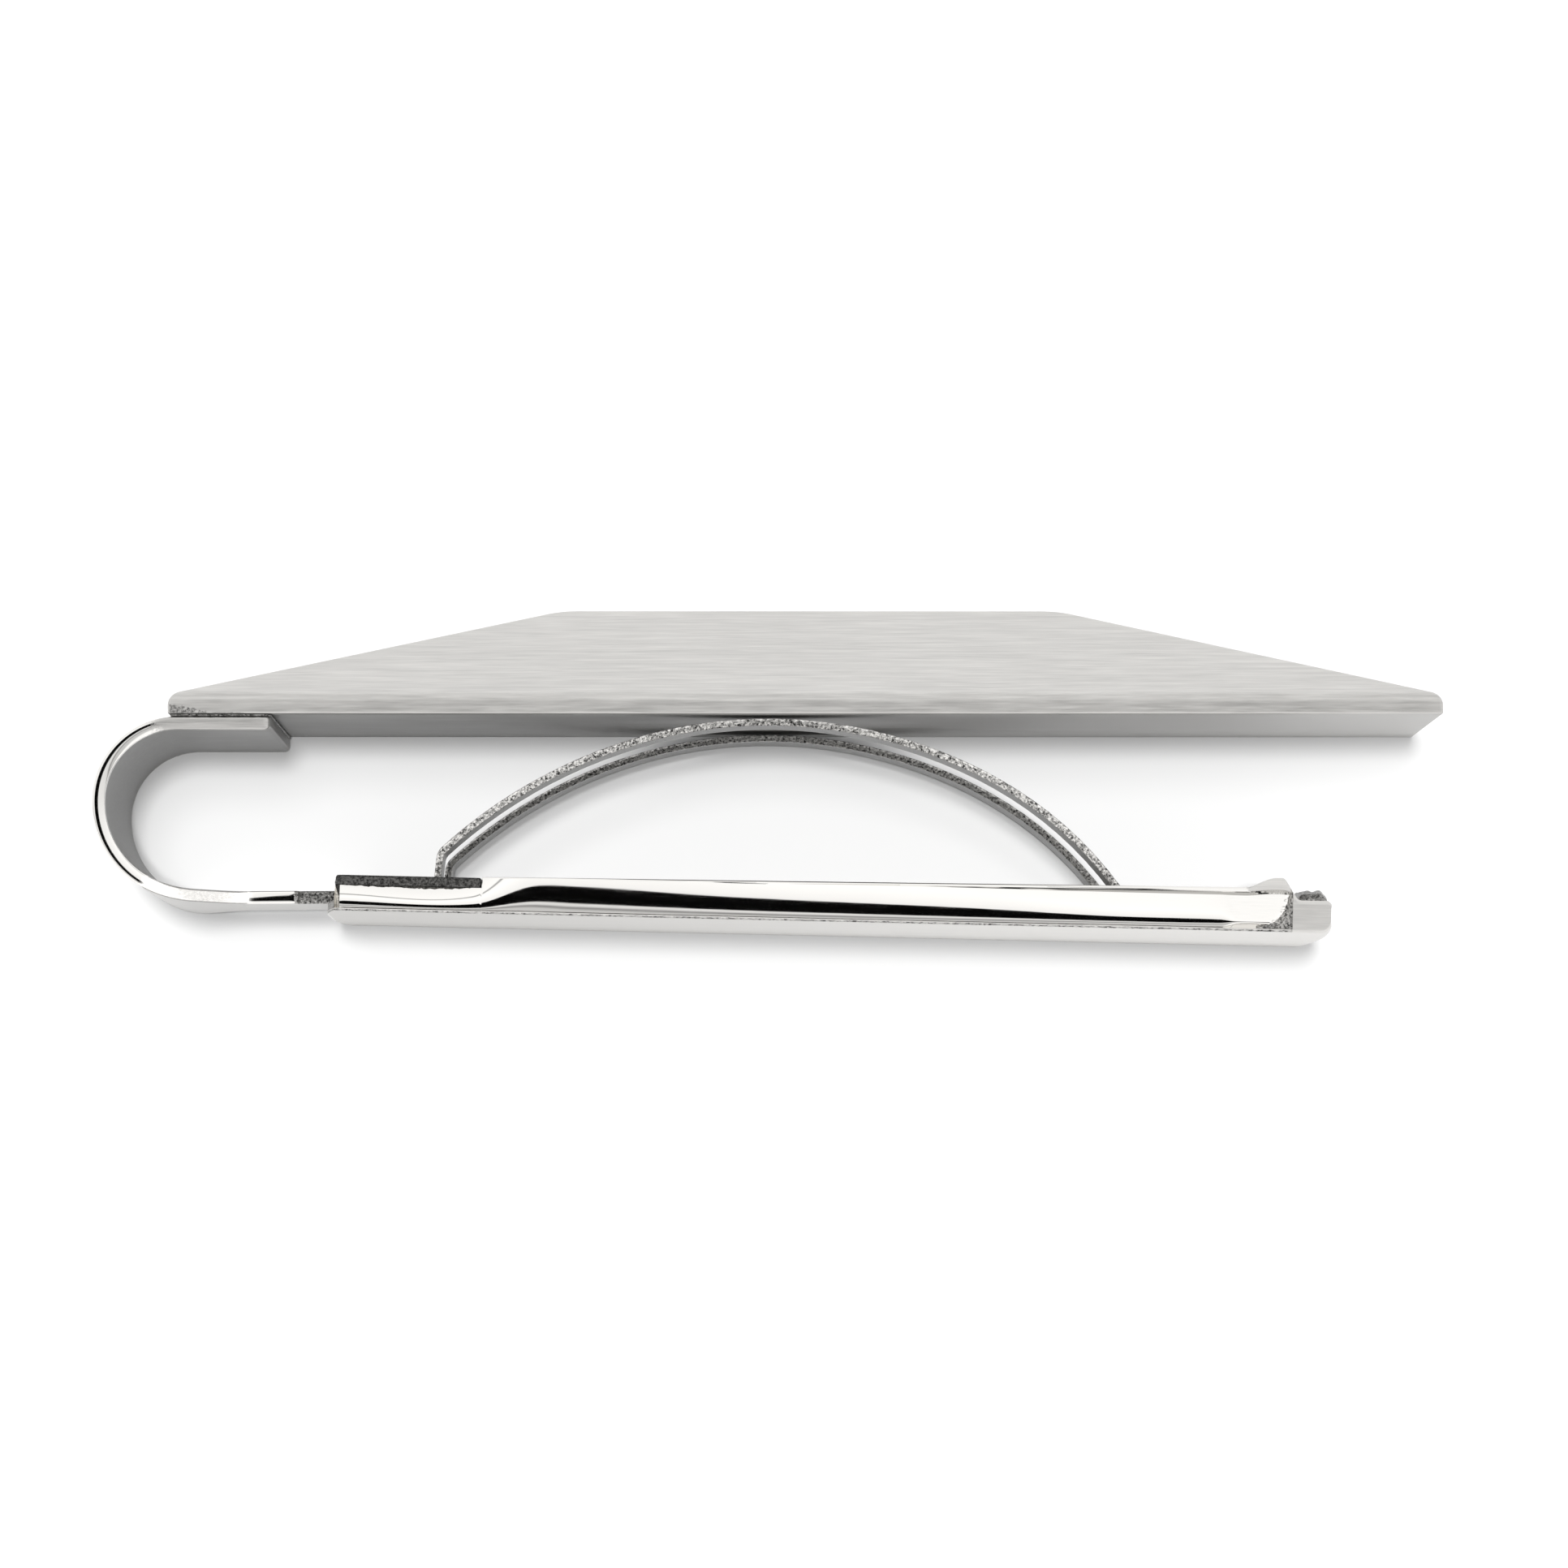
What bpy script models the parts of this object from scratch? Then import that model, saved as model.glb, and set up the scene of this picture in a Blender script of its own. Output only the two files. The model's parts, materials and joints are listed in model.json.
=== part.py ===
"""Hinged money clip, lying on its long edge.

A brushed, hip-shaped front plate carries a bent spring strip, brazed under its left end. The strip's leg
ends in a knuckle, and a pin through the knuckle carries the channel-shaped back arm. A flat cover closes
the arm over the pin. A forked bow spring stands in the arm, with its free feet on the cover, and presses
towards the plate, so that notes are held between them.

X runs along the clip, Y from the arm to the plate, and Z is the clip's width, upwards from the edge
that it lies on. The origin is below the middle of the whole clip.
"""
import math

import bmesh
import bpy
from mathutils import Matrix, Vector

MM = 0.001
WIDTH = 20.0 * MM
MID_Z = WIDTH / 2

# Front plate, seen from the side
PLATE_LEFT = -24.70 * MM
PLATE_RIGHT = 27.78 * MM
PLATE_BACK_Y = 2.10 * MM
PLATE_EDGE_HEIGHT = 0.80 * MM
PLATE_RIDGE_Y = 6.91 * MM
PLATE_RIDGE_LEFT = -8.70 * MM
PLATE_RIDGE_RIGHT = 12.25 * MM
PLATE_RIDGE_FLAT = 0.30 * MM
PLATE_CORNER_RADIUS = 0.16 * MM
PLATE_EDGE_BREAK = 0.06 * MM

# Spring strip: a tab, an upper and a lower quarter bend, and a tapering leg
STRIP_THICKNESS = 0.53 * MM
TAB_GAP = 0.13 * MM
TAB_RIGHT = -20.48 * MM
TAB_Y = PLATE_BACK_Y - TAB_GAP - STRIP_THICKNESS / 2
UPPER_BEND_RADIUS = 3.22 * MM
LOWER_BEND_RADIUS = 3.78 * MM
BEND_LEFT = -27.54 * MM
BEND_STEPS = 16
BEND_Y = TAB_Y - UPPER_BEND_RADIUS
LEG_STEPS = 3
TAPER_START_X = -25.40 * MM
TAPER_END_X = -21.60 * MM
LEG_HALF_WIDTH = 4.20 * MM
NECK_HALF_WIDTH = 3.80 * MM
NECK_START_X = -19.55 * MM
NECK_STEP = 0.05 * MM
SEAM_THICKNESS = 0.09 * MM
SEAM_LEFT_INSET = 0.25 * MM
SEAM_RIGHT_INSET = 0.10 * MM
SEAM_SIDE_INSET = 0.15 * MM

# Hinge: the pivot is the axis of the pin
PIVOT_X = -17.02 * MM
PIVOT_Y = -5.25 * MM
KNUCKLE_RADIUS = 0.56 * MM
KNUCKLE_CLEARANCE = 0.04 * MM
KNUCKLE_HALF_WIDTH = NECK_HALF_WIDTH - 0.05 * MM
PIN_RADIUS = 0.30 * MM
PIN_CLEARANCE = 0.02 * MM
SEAT_CLEARANCE = 0.05 * MM
PIN_LENGTH = 18.20 * MM

# Back arm, in its own axes: u along the arm from the pivot, v towards the plate
ARM_SLOPE = math.radians(-1.3)
ARM_SWING = math.radians(18)
ARM_START = -0.80 * MM
ARM_END = 40.17 * MM
ARM_BOTTOM = -0.77 * MM
FLOOR_TOP = -0.37 * MM
ARM_TOP_AT_PIVOT = 0.71 * MM
ARM_TOP_RISE = 0.0092
EAR_START = 36.30 * MM
EAR_PEAK = 38.10 * MM
EAR_TOP = 1.46 * MM
EAR_RADIUS = 0.35 * MM
EAR_STEPS = 4
EAR_FILLET_RADIUS = 0.55 * MM
TAB_START = 39.15 * MM
TAB_TOP = 0.55 * MM
TAB_CHAMFER = 0.10 * MM
TOE_RADIUS = 0.42 * MM
ARM_INNER_HALF_WIDTH = 8.80 * MM
CHANNEL_END = 38.55 * MM
GROOVE_DEPTH = 0.30 * MM
GROOVE_END_RADIUS = 0.24 * MM
GROOVE_END = 38.50 * MM
GROOVE_BOTTOM = -0.55 * MM
GROOVE_TOP = 0.79 * MM
BARREL_END = 5.24 * MM
BARREL_TOP = 0.31 * MM
COVER_GAP = 0.02 * MM
COVER_SIDE_INSET = 0.40 * MM
COVER_TOP = 0.72 * MM
NOTCH_HALF_WIDTH = 4.40 * MM
NOTCH_END = 0.95 * MM
LIP_START = -1.40 * MM
LIP_STEPS = 12
LIP_OVERLAP = 0.30 * MM
LIP_SIDE_INSET = 0.02 * MM
RIM_HALF_WIDTH = 6.50 * MM
RIM_RISE = 0.66 * MM
RIM_DEPTH = 1.10 * MM
RIM_INSET = 0.12 * MM
RIM_OVERLAP = 0.02 * MM

# Bow spring
BOW_THICKNESS = 0.29 * MM
BOW_RADIUS = 18.83 * MM
BOW_TOP_Y = 1.97 * MM
BOW_HALF_WIDTH = 8.60 * MM
BOW_RAIL_WIDTH = 3.60 * MM
BOW_LEFT = -13.50 * MM
BOW_RIGHT = 14.90 * MM
BOW_STEPS = 36
BOW_LEFT_FULLNESS = 0.364 * MM
BOW_RIGHT_FULLNESS = 1.60 * MM
BOW_RIGHT_FULL_END = 14.0 * MM
BOW_FLOOR_GAP = 0.06 * MM
BOW_COVER_GAP = 0.03 * MM
BOW_FREE_END_LEAN = 0.12 * MM
BOW_LEG_STEEPNESS = 0.75
BOW_RIGHT_FOOT_LENGTH = 2.60 * MM

OVERSHOOT = 1.0 * MM
TINY = 1e-6

PIVOT = Vector((PIVOT_X, PIVOT_Y, MID_Z))
FLEX_AXIS = Vector((BEND_LEFT, BEND_Y, MID_Z))
BOW_TOP = Vector((0.0, BOW_TOP_Y, MID_Z))
ARM_MATRIX = Matrix.Translation(PIVOT) @ Matrix.Rotation(ARM_SLOPE, 4, "Z")


def clear_scene():
    for old in list(bpy.data.objects):
        bpy.data.objects.remove(old, do_unlink=True)


def new_collection(name):
    collection = bpy.data.collections.new(name)
    bpy.context.scene.collection.children.link(collection)
    return collection


def new_material(name, color, roughness, metallic=1.0):
    material = bpy.data.materials.new(name)
    material.use_nodes = True
    shader = material.node_tree.nodes["Principled BSDF"]
    shader.inputs["Base Color"].default_value = (*color, 1.0)
    shader.inputs["Roughness"].default_value = roughness
    shader.inputs["Metallic"].default_value = metallic
    return material


def new_object(name, bm, collection, material=None, matrix=None, origin=None):
    """Turn a bmesh into a named object, and place it by a matrix, or by an origin that its shape includes."""
    if origin is not None:
        bmesh.ops.translate(bm, vec=-origin, verts=bm.verts)
        matrix = Matrix.Translation(origin)
    mesh = bpy.data.meshes.new(name)
    bm.to_mesh(mesh)
    bm.free()
    thing = bpy.data.objects.new(name, mesh)
    collection.objects.link(thing)
    if material is not None:
        mesh.materials.append(material)
    if matrix is not None:
        thing.matrix_world = matrix
    return thing


def box_bmesh(low, high):
    """A box between two corners."""
    low = Vector(low)
    high = Vector(high)
    bm = bmesh.new()
    bmesh.ops.create_cube(bm, size=1.0)
    size = high - low
    bmesh.ops.scale(bm, vec=size, verts=bm.verts)
    bmesh.ops.translate(bm, vec=(low + high) / 2, verts=bm.verts)
    return bm


def rod_bmesh(radius, length, segments=32):
    """A cylinder along Z, centred on the origin."""
    bm = bmesh.new()
    bmesh.ops.create_cone(bm, cap_ends=True, segments=segments, radius1=radius, radius2=radius, depth=length)
    return bm


def ribbon_bmesh(path, columns):
    """A sheet without thickness: path is a list of (x, y), and columns(x, y) gives the z of each column."""
    bm = bmesh.new()
    first = [bm.verts.new((x, y, columns(x, y)[0])) for x, y in path]
    edges = [bm.edges.new(pair) for pair in zip(first, first[1:])]
    for column in range(1, len(columns(*path[0]))):
        grown = bmesh.ops.extrude_edge_only(bm, edges=edges)["geom"]
        edges = [item for item in grown if isinstance(item, bmesh.types.BMEdge)]
        for vert in [item for item in grown if isinstance(item, bmesh.types.BMVert)]:
            vert.co.z = columns(vert.co.x, vert.co.y)[column]
    bmesh.ops.recalc_face_normals(bm, faces=bm.faces)
    return bm


def outline_object(name, outline, depth, collection, matrix=None, material=None):
    """A flat outline in X and Y, given depth along Z, as a welded mesh object."""
    curve = bpy.data.curves.new(name, "CURVE")
    curve.dimensions = "2D"
    curve.fill_mode = "BOTH"
    curve.extrude = depth / 2
    spline = curve.splines.new("POLY")
    spline.points.add(len(outline) - 1)
    for point, (x, y) in zip(spline.points, outline):
        point.co = (x, y, 0.0, 1.0)
    spline.use_cyclic_u = True
    guide = bpy.data.objects.new(name + "_outline", curve)
    bpy.context.scene.collection.objects.link(guide)
    evaluated = guide.evaluated_get(bpy.context.evaluated_depsgraph_get())
    mesh = bpy.data.meshes.new_from_object(evaluated)
    bpy.data.objects.remove(guide, do_unlink=True)
    bpy.data.curves.remove(curve)
    bm = bmesh.new()
    bm.from_mesh(mesh)
    bpy.data.meshes.remove(mesh)
    bmesh.ops.remove_doubles(bm, verts=bm.verts, dist=TINY)
    bmesh.ops.recalc_face_normals(bm, faces=bm.faces)
    return new_object(name, bm, collection, material, matrix)


def arc(center, radius, start, end, steps):
    """Points on an arc, with its angles in degrees and both ends included."""
    angles = [math.radians(start + (end - start) * i / steps) for i in range(steps + 1)]
    return [(center[0] + radius * math.cos(a), center[1] + radius * math.sin(a)) for a in angles]


def cut(target, cutter, operation="DIFFERENCE"):
    """Cut one object from another, or join it, and hide the cutter."""
    cutter.hide_render = True
    cutter.display_type = "WIRE"
    modifier = target.modifiers.new(cutter.name, "BOOLEAN")
    modifier.operation = operation
    modifier.object = cutter
    modifier.solver = "EXACT"


def shade(thing, angle=30):
    thing.data.shade_smooth()
    thing.data.set_sharp_from_angle(angle=math.radians(angle))


def make_front_plate(collection):
    """A thin slab with rounded corners, whose front rises in four facets to a ridge."""
    low = (PLATE_LEFT, PLATE_BACK_Y, 0.0)
    high = (PLATE_RIGHT, PLATE_BACK_Y + PLATE_EDGE_HEIGHT, WIDTH)
    bm = box_bmesh(low, high)
    corners = [e for e in bm.edges if abs(e.verts[0].co.y - e.verts[1].co.y) > TINY]
    bmesh.ops.bevel(
        bm, geom=corners, offset=PLATE_CORNER_RADIUS, segments=6, profile=0.5, affect="EDGES"
    )
    front = max(bm.faces, key=lambda face: face.calc_center_median().y)
    grown = bmesh.ops.extrude_face_region(bm, geom=[front])["geom"]
    for vert in [item for item in grown if isinstance(item, bmesh.types.BMVert)]:
        vert.co.y = PLATE_RIDGE_Y
        vert.co.x = min(max(vert.co.x, PLATE_RIDGE_LEFT), PLATE_RIDGE_RIGHT)
        vert.co.z = MID_Z + math.copysign(PLATE_RIDGE_FLAT / 2, vert.co.z - MID_Z)
    bmesh.ops.delete(bm, geom=[front], context="FACES_ONLY")
    bmesh.ops.remove_doubles(bm, verts=bm.verts, dist=TINY)
    bmesh.ops.recalc_face_normals(bm, faces=bm.faces)
    material = new_material("plate_brushed_steel", (0.60, 0.58, 0.56), 0.38)
    plate = new_object("front_plate", bm, collection, material)
    bevel = plate.modifiers.new("edge_break", "BEVEL")
    bevel.width = PLATE_EDGE_BREAK
    bevel.segments = 1
    bevel.limit_method = "ANGLE"
    bevel.angle_limit = math.radians(35)
    return plate


def make_braze_seam(collection):
    """The film of filler between the plate's back and the strip's tab."""
    top = PLATE_BACK_Y - (TAB_GAP - SEAM_THICKNESS) / 2
    low = (PLATE_LEFT + SEAM_LEFT_INSET, top - SEAM_THICKNESS, SEAM_SIDE_INSET)
    high = (TAB_RIGHT - SEAM_RIGHT_INSET, top, WIDTH - SEAM_SIDE_INSET)
    material = new_material("braze_dark", (0.20, 0.19, 0.18), 0.60)
    return new_object("braze_seam", box_bmesh(low, high), collection, material)


def strip_path():
    """The strip's centre line from the tab's end round the bend to the pivot."""
    upper_x = BEND_LEFT + UPPER_BEND_RADIUS
    lower_x = BEND_LEFT + LOWER_BEND_RADIUS
    path = [(TAB_RIGHT, TAB_Y)]
    path += arc((upper_x, BEND_Y), UPPER_BEND_RADIUS, 90, 180, BEND_STEPS)
    path += arc((lower_x, BEND_Y), LOWER_BEND_RADIUS, 180, 270, BEND_STEPS)[1:]
    leg_start_x, leg_start_y = path[-1]
    taper = (TAPER_END_X - leg_start_x) / LEG_STEPS
    stops = [leg_start_x + taper * (i + 1) for i in range(LEG_STEPS)]
    stops += [NECK_START_X, NECK_START_X + NECK_STEP, PIVOT_X]
    for x in stops:
        share = (x - leg_start_x) / (PIVOT_X - leg_start_x)
        path.append((x, leg_start_y + share * (PIVOT_Y - leg_start_y)))
    return path


def strip_columns(x, y):
    """Full width at the tab and round the bend, then an even taper to the leg and a step to the neck."""
    half = MID_Z
    if y < BEND_Y and x > TAPER_START_X:
        share = min((x - TAPER_START_X) / (TAPER_END_X - TAPER_START_X), 1.0)
        share = share * share * (3 - 2 * share)
        half = MID_Z + share * (LEG_HALF_WIDTH - MID_Z)
        if x > NECK_START_X + TINY:
            half = NECK_HALF_WIDTH
    return (MID_Z - half, MID_Z + half)


def make_spring_strip(collection, cutters):
    material = new_material("strip_steel", (0.56, 0.55, 0.53), 0.25)
    ribbon = ribbon_bmesh(strip_path(), strip_columns)
    strip = new_object("spring_strip", ribbon, collection, material, origin=FLEX_AXIS)
    solid = strip.modifiers.new("thickness", "SOLIDIFY")
    solid.thickness = STRIP_THICKNESS
    solid.offset = 0.0
    solid.use_even_offset = True
    place = Matrix.Translation(PIVOT)
    knuckle = rod_bmesh(KNUCKLE_RADIUS, 2 * KNUCKLE_HALF_WIDTH)
    cut(strip, new_object("knuckle_roll", knuckle, cutters, matrix=place), "UNION")
    bore = rod_bmesh(PIN_RADIUS + PIN_CLEARANCE, 2 * (KNUCKLE_HALF_WIDTH + OVERSHOOT))
    cut(strip, new_object("knuckle_bore", bore, cutters, matrix=place))
    shade(strip)
    return strip


def make_hinge_pin(collection):
    material = new_material("pin_steel", (0.50, 0.50, 0.50), 0.35)
    place = Matrix.Translation(PIVOT)
    pin = new_object("hinge_pin", rod_bmesh(PIN_RADIUS, PIN_LENGTH), collection, material, place)
    shade(pin)
    return pin


def arm_top(u):
    """Height of the arm's side walls, which grow evenly towards the thumb end."""
    return ARM_TOP_AT_PIVOT + ARM_TOP_RISE * u


def ear_flank():
    """The smooth rise from the wall's top to the ear, from the ear back to the wall."""
    top_x, top_y = arc((EAR_PEAK, EAR_TOP - EAR_RADIUS), EAR_RADIUS, 110, 110, 1)[0]
    start_y = arm_top(EAR_START)
    points = []
    for i in range(1, EAR_STEPS):
        share = 1 - i / EAR_STEPS
        rise = share * share * (3 - 2 * share)
        points.append((EAR_START + share * (top_x - EAR_START), start_y + rise * (top_y - start_y)))
    return points


def arm_outline():
    """Side view of the arm: flat bottom, rounded toe, thumb tab, ear and the long wall top."""
    toe_center = (ARM_END - TOE_RADIUS, ARM_BOTTOM + TOE_RADIUS)
    outline = [(ARM_START, ARM_BOTTOM)]
    outline += arc(toe_center, TOE_RADIUS, -90, 0, 6)
    outline += [(ARM_END, TAB_TOP - TAB_CHAMFER), (ARM_END - TAB_CHAMFER, TAB_TOP), (TAB_START, TAB_TOP)]
    outline += arc((TAB_START, TAB_TOP + EAR_FILLET_RADIUS), EAR_FILLET_RADIUS, 250, 200, 4)
    outline += arc((EAR_PEAK, EAR_TOP - EAR_RADIUS), EAR_RADIUS, 20, 110, 5)
    outline += ear_flank()
    outline += [(EAR_START, arm_top(EAR_START)), (ARM_START, arm_top(ARM_START))]
    return outline


def groove_cutter(name, side, cutters):
    """One side groove: a long bar that sinks into the wall, with a rounded right end."""
    inner = MID_Z - GROOVE_DEPTH
    low = (ARM_START - OVERSHOOT, GROOVE_BOTTOM, inner)
    bm = box_bmesh(low, (GROOVE_END, GROOVE_TOP, MID_Z + OVERSHOOT))
    inner_end = []
    for edge in bm.edges:
        middle = (edge.verts[0].co + edge.verts[1].co) / 2
        if middle.z < inner + TINY and middle.x > GROOVE_END - TINY:
            inner_end.append(edge)
    bmesh.ops.bevel(bm, geom=inner_end, offset=GROOVE_END_RADIUS, segments=4, profile=0.5, affect="EDGES")
    if side < 0:
        bmesh.ops.scale(bm, vec=(1, 1, -1), verts=bm.verts)
        bmesh.ops.reverse_faces(bm, faces=bm.faces)
    return new_object(name, bm, cutters, matrix=ARM_MATRIX)


def neck_relief(cutters):
    """The slope that the neck lands on when the arm has swung all the way open."""
    low = (LIP_START - 2 * OVERSHOOT, -STRIP_THICKNESS / 2 - 1.5 * KNUCKLE_CLEARANCE, -NOTCH_HALF_WIDTH)
    high = (0.0, COVER_TOP, NOTCH_HALF_WIDTH)
    opened = ARM_MATRIX @ Matrix.Rotation(ARM_SWING, 4, "Z")
    return new_object("neck_relief", box_bmesh(low, high), cutters, matrix=opened)


def make_back_arm(collection, cutters):
    material = new_material("arm_polished_steel", (0.62, 0.61, 0.60), 0.08)
    arm = outline_object("back_arm", arm_outline(), WIDTH, collection, ARM_MATRIX, material)
    half = ARM_INNER_HALF_WIDTH

    channel_low = (ARM_START - OVERSHOOT, FLOOR_TOP, -half)
    channel = box_bmesh(channel_low, (CHANNEL_END, EAR_TOP + OVERSHOOT, half))
    cut(arm, new_object("channel_cutter", channel, cutters, matrix=ARM_MATRIX))

    cut(arm, groove_cutter("upper_groove", 1, cutters))
    cut(arm, groove_cutter("lower_groove", -1, cutters))

    cover_low = (ARM_START - OVERSHOOT, BARREL_TOP, -MID_Z - OVERSHOOT)
    cover_seat = box_bmesh(cover_low, (BARREL_END, EAR_TOP, MID_Z + OVERSHOOT))
    cut(arm, new_object("cover_seat", cover_seat, cutters, matrix=ARM_MATRIX))

    lip = outline_object("floor_lip", lip_outline(), FLOOR_TOP - ARM_BOTTOM, cutters)
    middle = (FLOOR_TOP + ARM_BOTTOM) / 2
    flat = Matrix.Rotation(math.pi / 2, 4, "X")
    lip.matrix_world = ARM_MATRIX @ Matrix.Translation((0, middle, 0)) @ flat
    cut(arm, lip, "UNION")

    rim = outline_object("thumb_rim", rim_outline(), RIM_DEPTH, cutters)
    turn = Matrix.Rotation(math.pi / 2, 4, "Y")
    rim_u = ARM_END - RIM_DEPTH / 2 - RIM_INSET
    rim.matrix_world = ARM_MATRIX @ Matrix.Translation((rim_u, 0, 0)) @ turn
    cut(arm, rim, "UNION")

    trough = rod_bmesh(KNUCKLE_RADIUS + KNUCKLE_CLEARANCE, 2 * NOTCH_HALF_WIDTH)
    cut(arm, new_object("knuckle_trough", trough, cutters, matrix=ARM_MATRIX))
    cut(arm, neck_relief(cutters))

    seat = rod_bmesh(PIN_RADIUS + SEAT_CLEARANCE, PIN_LENGTH + 2 * SEAT_CLEARANCE)
    cut(arm, new_object("pin_seats", seat, cutters, matrix=ARM_MATRIX))
    shade(arm)
    return arm


def lip_outline():
    """Plan view of the floor's left end, which stands out past the walls in a shallow arc."""
    inside = ARM_START + LIP_OVERLAP
    outside = ARM_START + LIP_SIDE_INSET
    half = MID_Z - LIP_SIDE_INSET
    outline = [(inside, -half), (inside, half)]
    for step in range(LIP_STEPS + 1):
        share = 1 - 2 * step / LIP_STEPS
        outline.append((outside + (LIP_START - outside) * (1 - share**2), half * share))
    return outline


def rim_outline():
    """End view of the thumb end's arched top edge."""
    radius = (RIM_HALF_WIDTH**2 + RIM_RISE**2) / (2 * RIM_RISE)
    spread = math.degrees(math.asin(RIM_HALF_WIDTH / radius))
    center = (0.0, TAB_TOP - RIM_OVERLAP + RIM_RISE - radius)
    outline = arc(center, radius, 90 - spread, 90 + spread, 12)
    outline += [(-RIM_HALF_WIDTH, 0.0), (RIM_HALF_WIDTH, 0.0)]
    return outline


def make_hinge_cover(collection, cutters):
    """A flat plate with sheared edges, let into the walls over the pin, open above the knuckle."""
    material = new_material("cover_steel", (0.25, 0.24, 0.23), 0.55)
    half = MID_Z - COVER_SIDE_INSET
    low = (ARM_START, BARREL_TOP + COVER_GAP, -half)
    high = (BARREL_END - COVER_GAP, COVER_TOP, half)
    cover = new_object("hinge_cover", box_bmesh(low, high), collection, material, ARM_MATRIX)
    low = (ARM_START - OVERSHOOT, BARREL_TOP - OVERSHOOT, -NOTCH_HALF_WIDTH)
    high = (NOTCH_END, COVER_TOP + OVERSHOOT, NOTCH_HALF_WIDTH)
    window = new_object("cover_window", box_bmesh(low, high), cutters, matrix=ARM_MATRIX)
    cut(cover, window)
    return cover


def arm_y(x, v):
    """Height in Y, at a given x, of a line along the arm."""
    return PIVOT_Y + (x - PIVOT_X) * math.tan(ARM_SLOPE) + v / math.cos(ARM_SLOPE)


def fullness(x):
    """How far the bow stands outside a true arc, which is most near its left end."""
    if x < 0:
        return BOW_LEFT_FULLNESS * (x / BOW_LEFT) ** 4
    share = x / BOW_RIGHT_FULL_END
    return BOW_RIGHT_FULLNESS * share ** 4 * (1 - share)


def bow_path():
    """The bow's centre line: free end on the cover, upright, arc, and the foot along the channel's floor."""
    radius = BOW_RADIUS - BOW_THICKNESS / 2
    center_y = BOW_TOP_Y - BOW_RADIUS
    left_angle = 180 - math.degrees(math.acos(-BOW_LEFT / radius))
    right_angle = math.degrees(math.acos(BOW_RIGHT / radius))
    upright_x = BOW_LEFT - BOW_FREE_END_LEAN
    path = [(upright_x, arm_y(upright_x, COVER_TOP + BOW_COVER_GAP))]
    path += [(x, y + fullness(x)) for x, y in arc((0.0, center_y), radius, left_angle, right_angle, BOW_STEPS)]
    last_x, last_y = path[-1]
    floor_v = FLOOR_TOP + BOW_FLOOR_GAP + BOW_THICKNESS / 2
    drop = last_y - arm_y(last_x, floor_v)
    landing = last_x + drop * math.tan(math.radians(right_angle)) * BOW_LEG_STEEPNESS
    toe = landing + BOW_RIGHT_FOOT_LENGTH
    path.append((landing, arm_y(landing, floor_v)))
    path.append((toe, arm_y(toe, floor_v)))
    return path


def bow_columns(x, y):
    outer = BOW_HALF_WIDTH
    inner = BOW_HALF_WIDTH - BOW_RAIL_WIDTH
    return (MID_Z - outer, MID_Z - inner, MID_Z + inner, MID_Z + outer)


def make_bow_spring(collection):
    """A thin leaf, slotted from its free end, which leaves two rails joined at the foot."""
    material = new_material("bow_steel", (0.40, 0.39, 0.38), 0.35)
    path = bow_path()
    bm = ribbon_bmesh(path, bow_columns)
    slot_end = path[-2][0]
    slot = []
    for face in bm.faces:
        center = face.calc_center_median()
        if abs(center.z - MID_Z) < TINY and center.x < slot_end:
            slot.append(face)
    bmesh.ops.delete(bm, geom=slot, context="FACES")
    bow = new_object("bow_spring", bm, collection, material, origin=BOW_TOP)
    solid = bow.modifiers.new("thickness", "SOLIDIFY")
    solid.thickness = BOW_THICKNESS
    solid.offset = 0.0
    solid.use_even_offset = True
    shade(bow)
    return bow


def main():
    clear_scene()
    parts = new_collection("money_clip")
    cutters = new_collection("cutters")
    make_front_plate(parts)
    make_braze_seam(parts)
    make_spring_strip(parts, cutters)
    make_hinge_pin(parts)
    make_back_arm(parts, cutters)
    make_hinge_cover(parts, cutters)
    make_bow_spring(parts)


main()
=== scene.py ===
"""Looks of the hinged money clip: fine meshes, metal finishes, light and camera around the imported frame."""
import json
import math
import bmesh
import bpy
from mathutils import Matrix, Vector, noise


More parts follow.
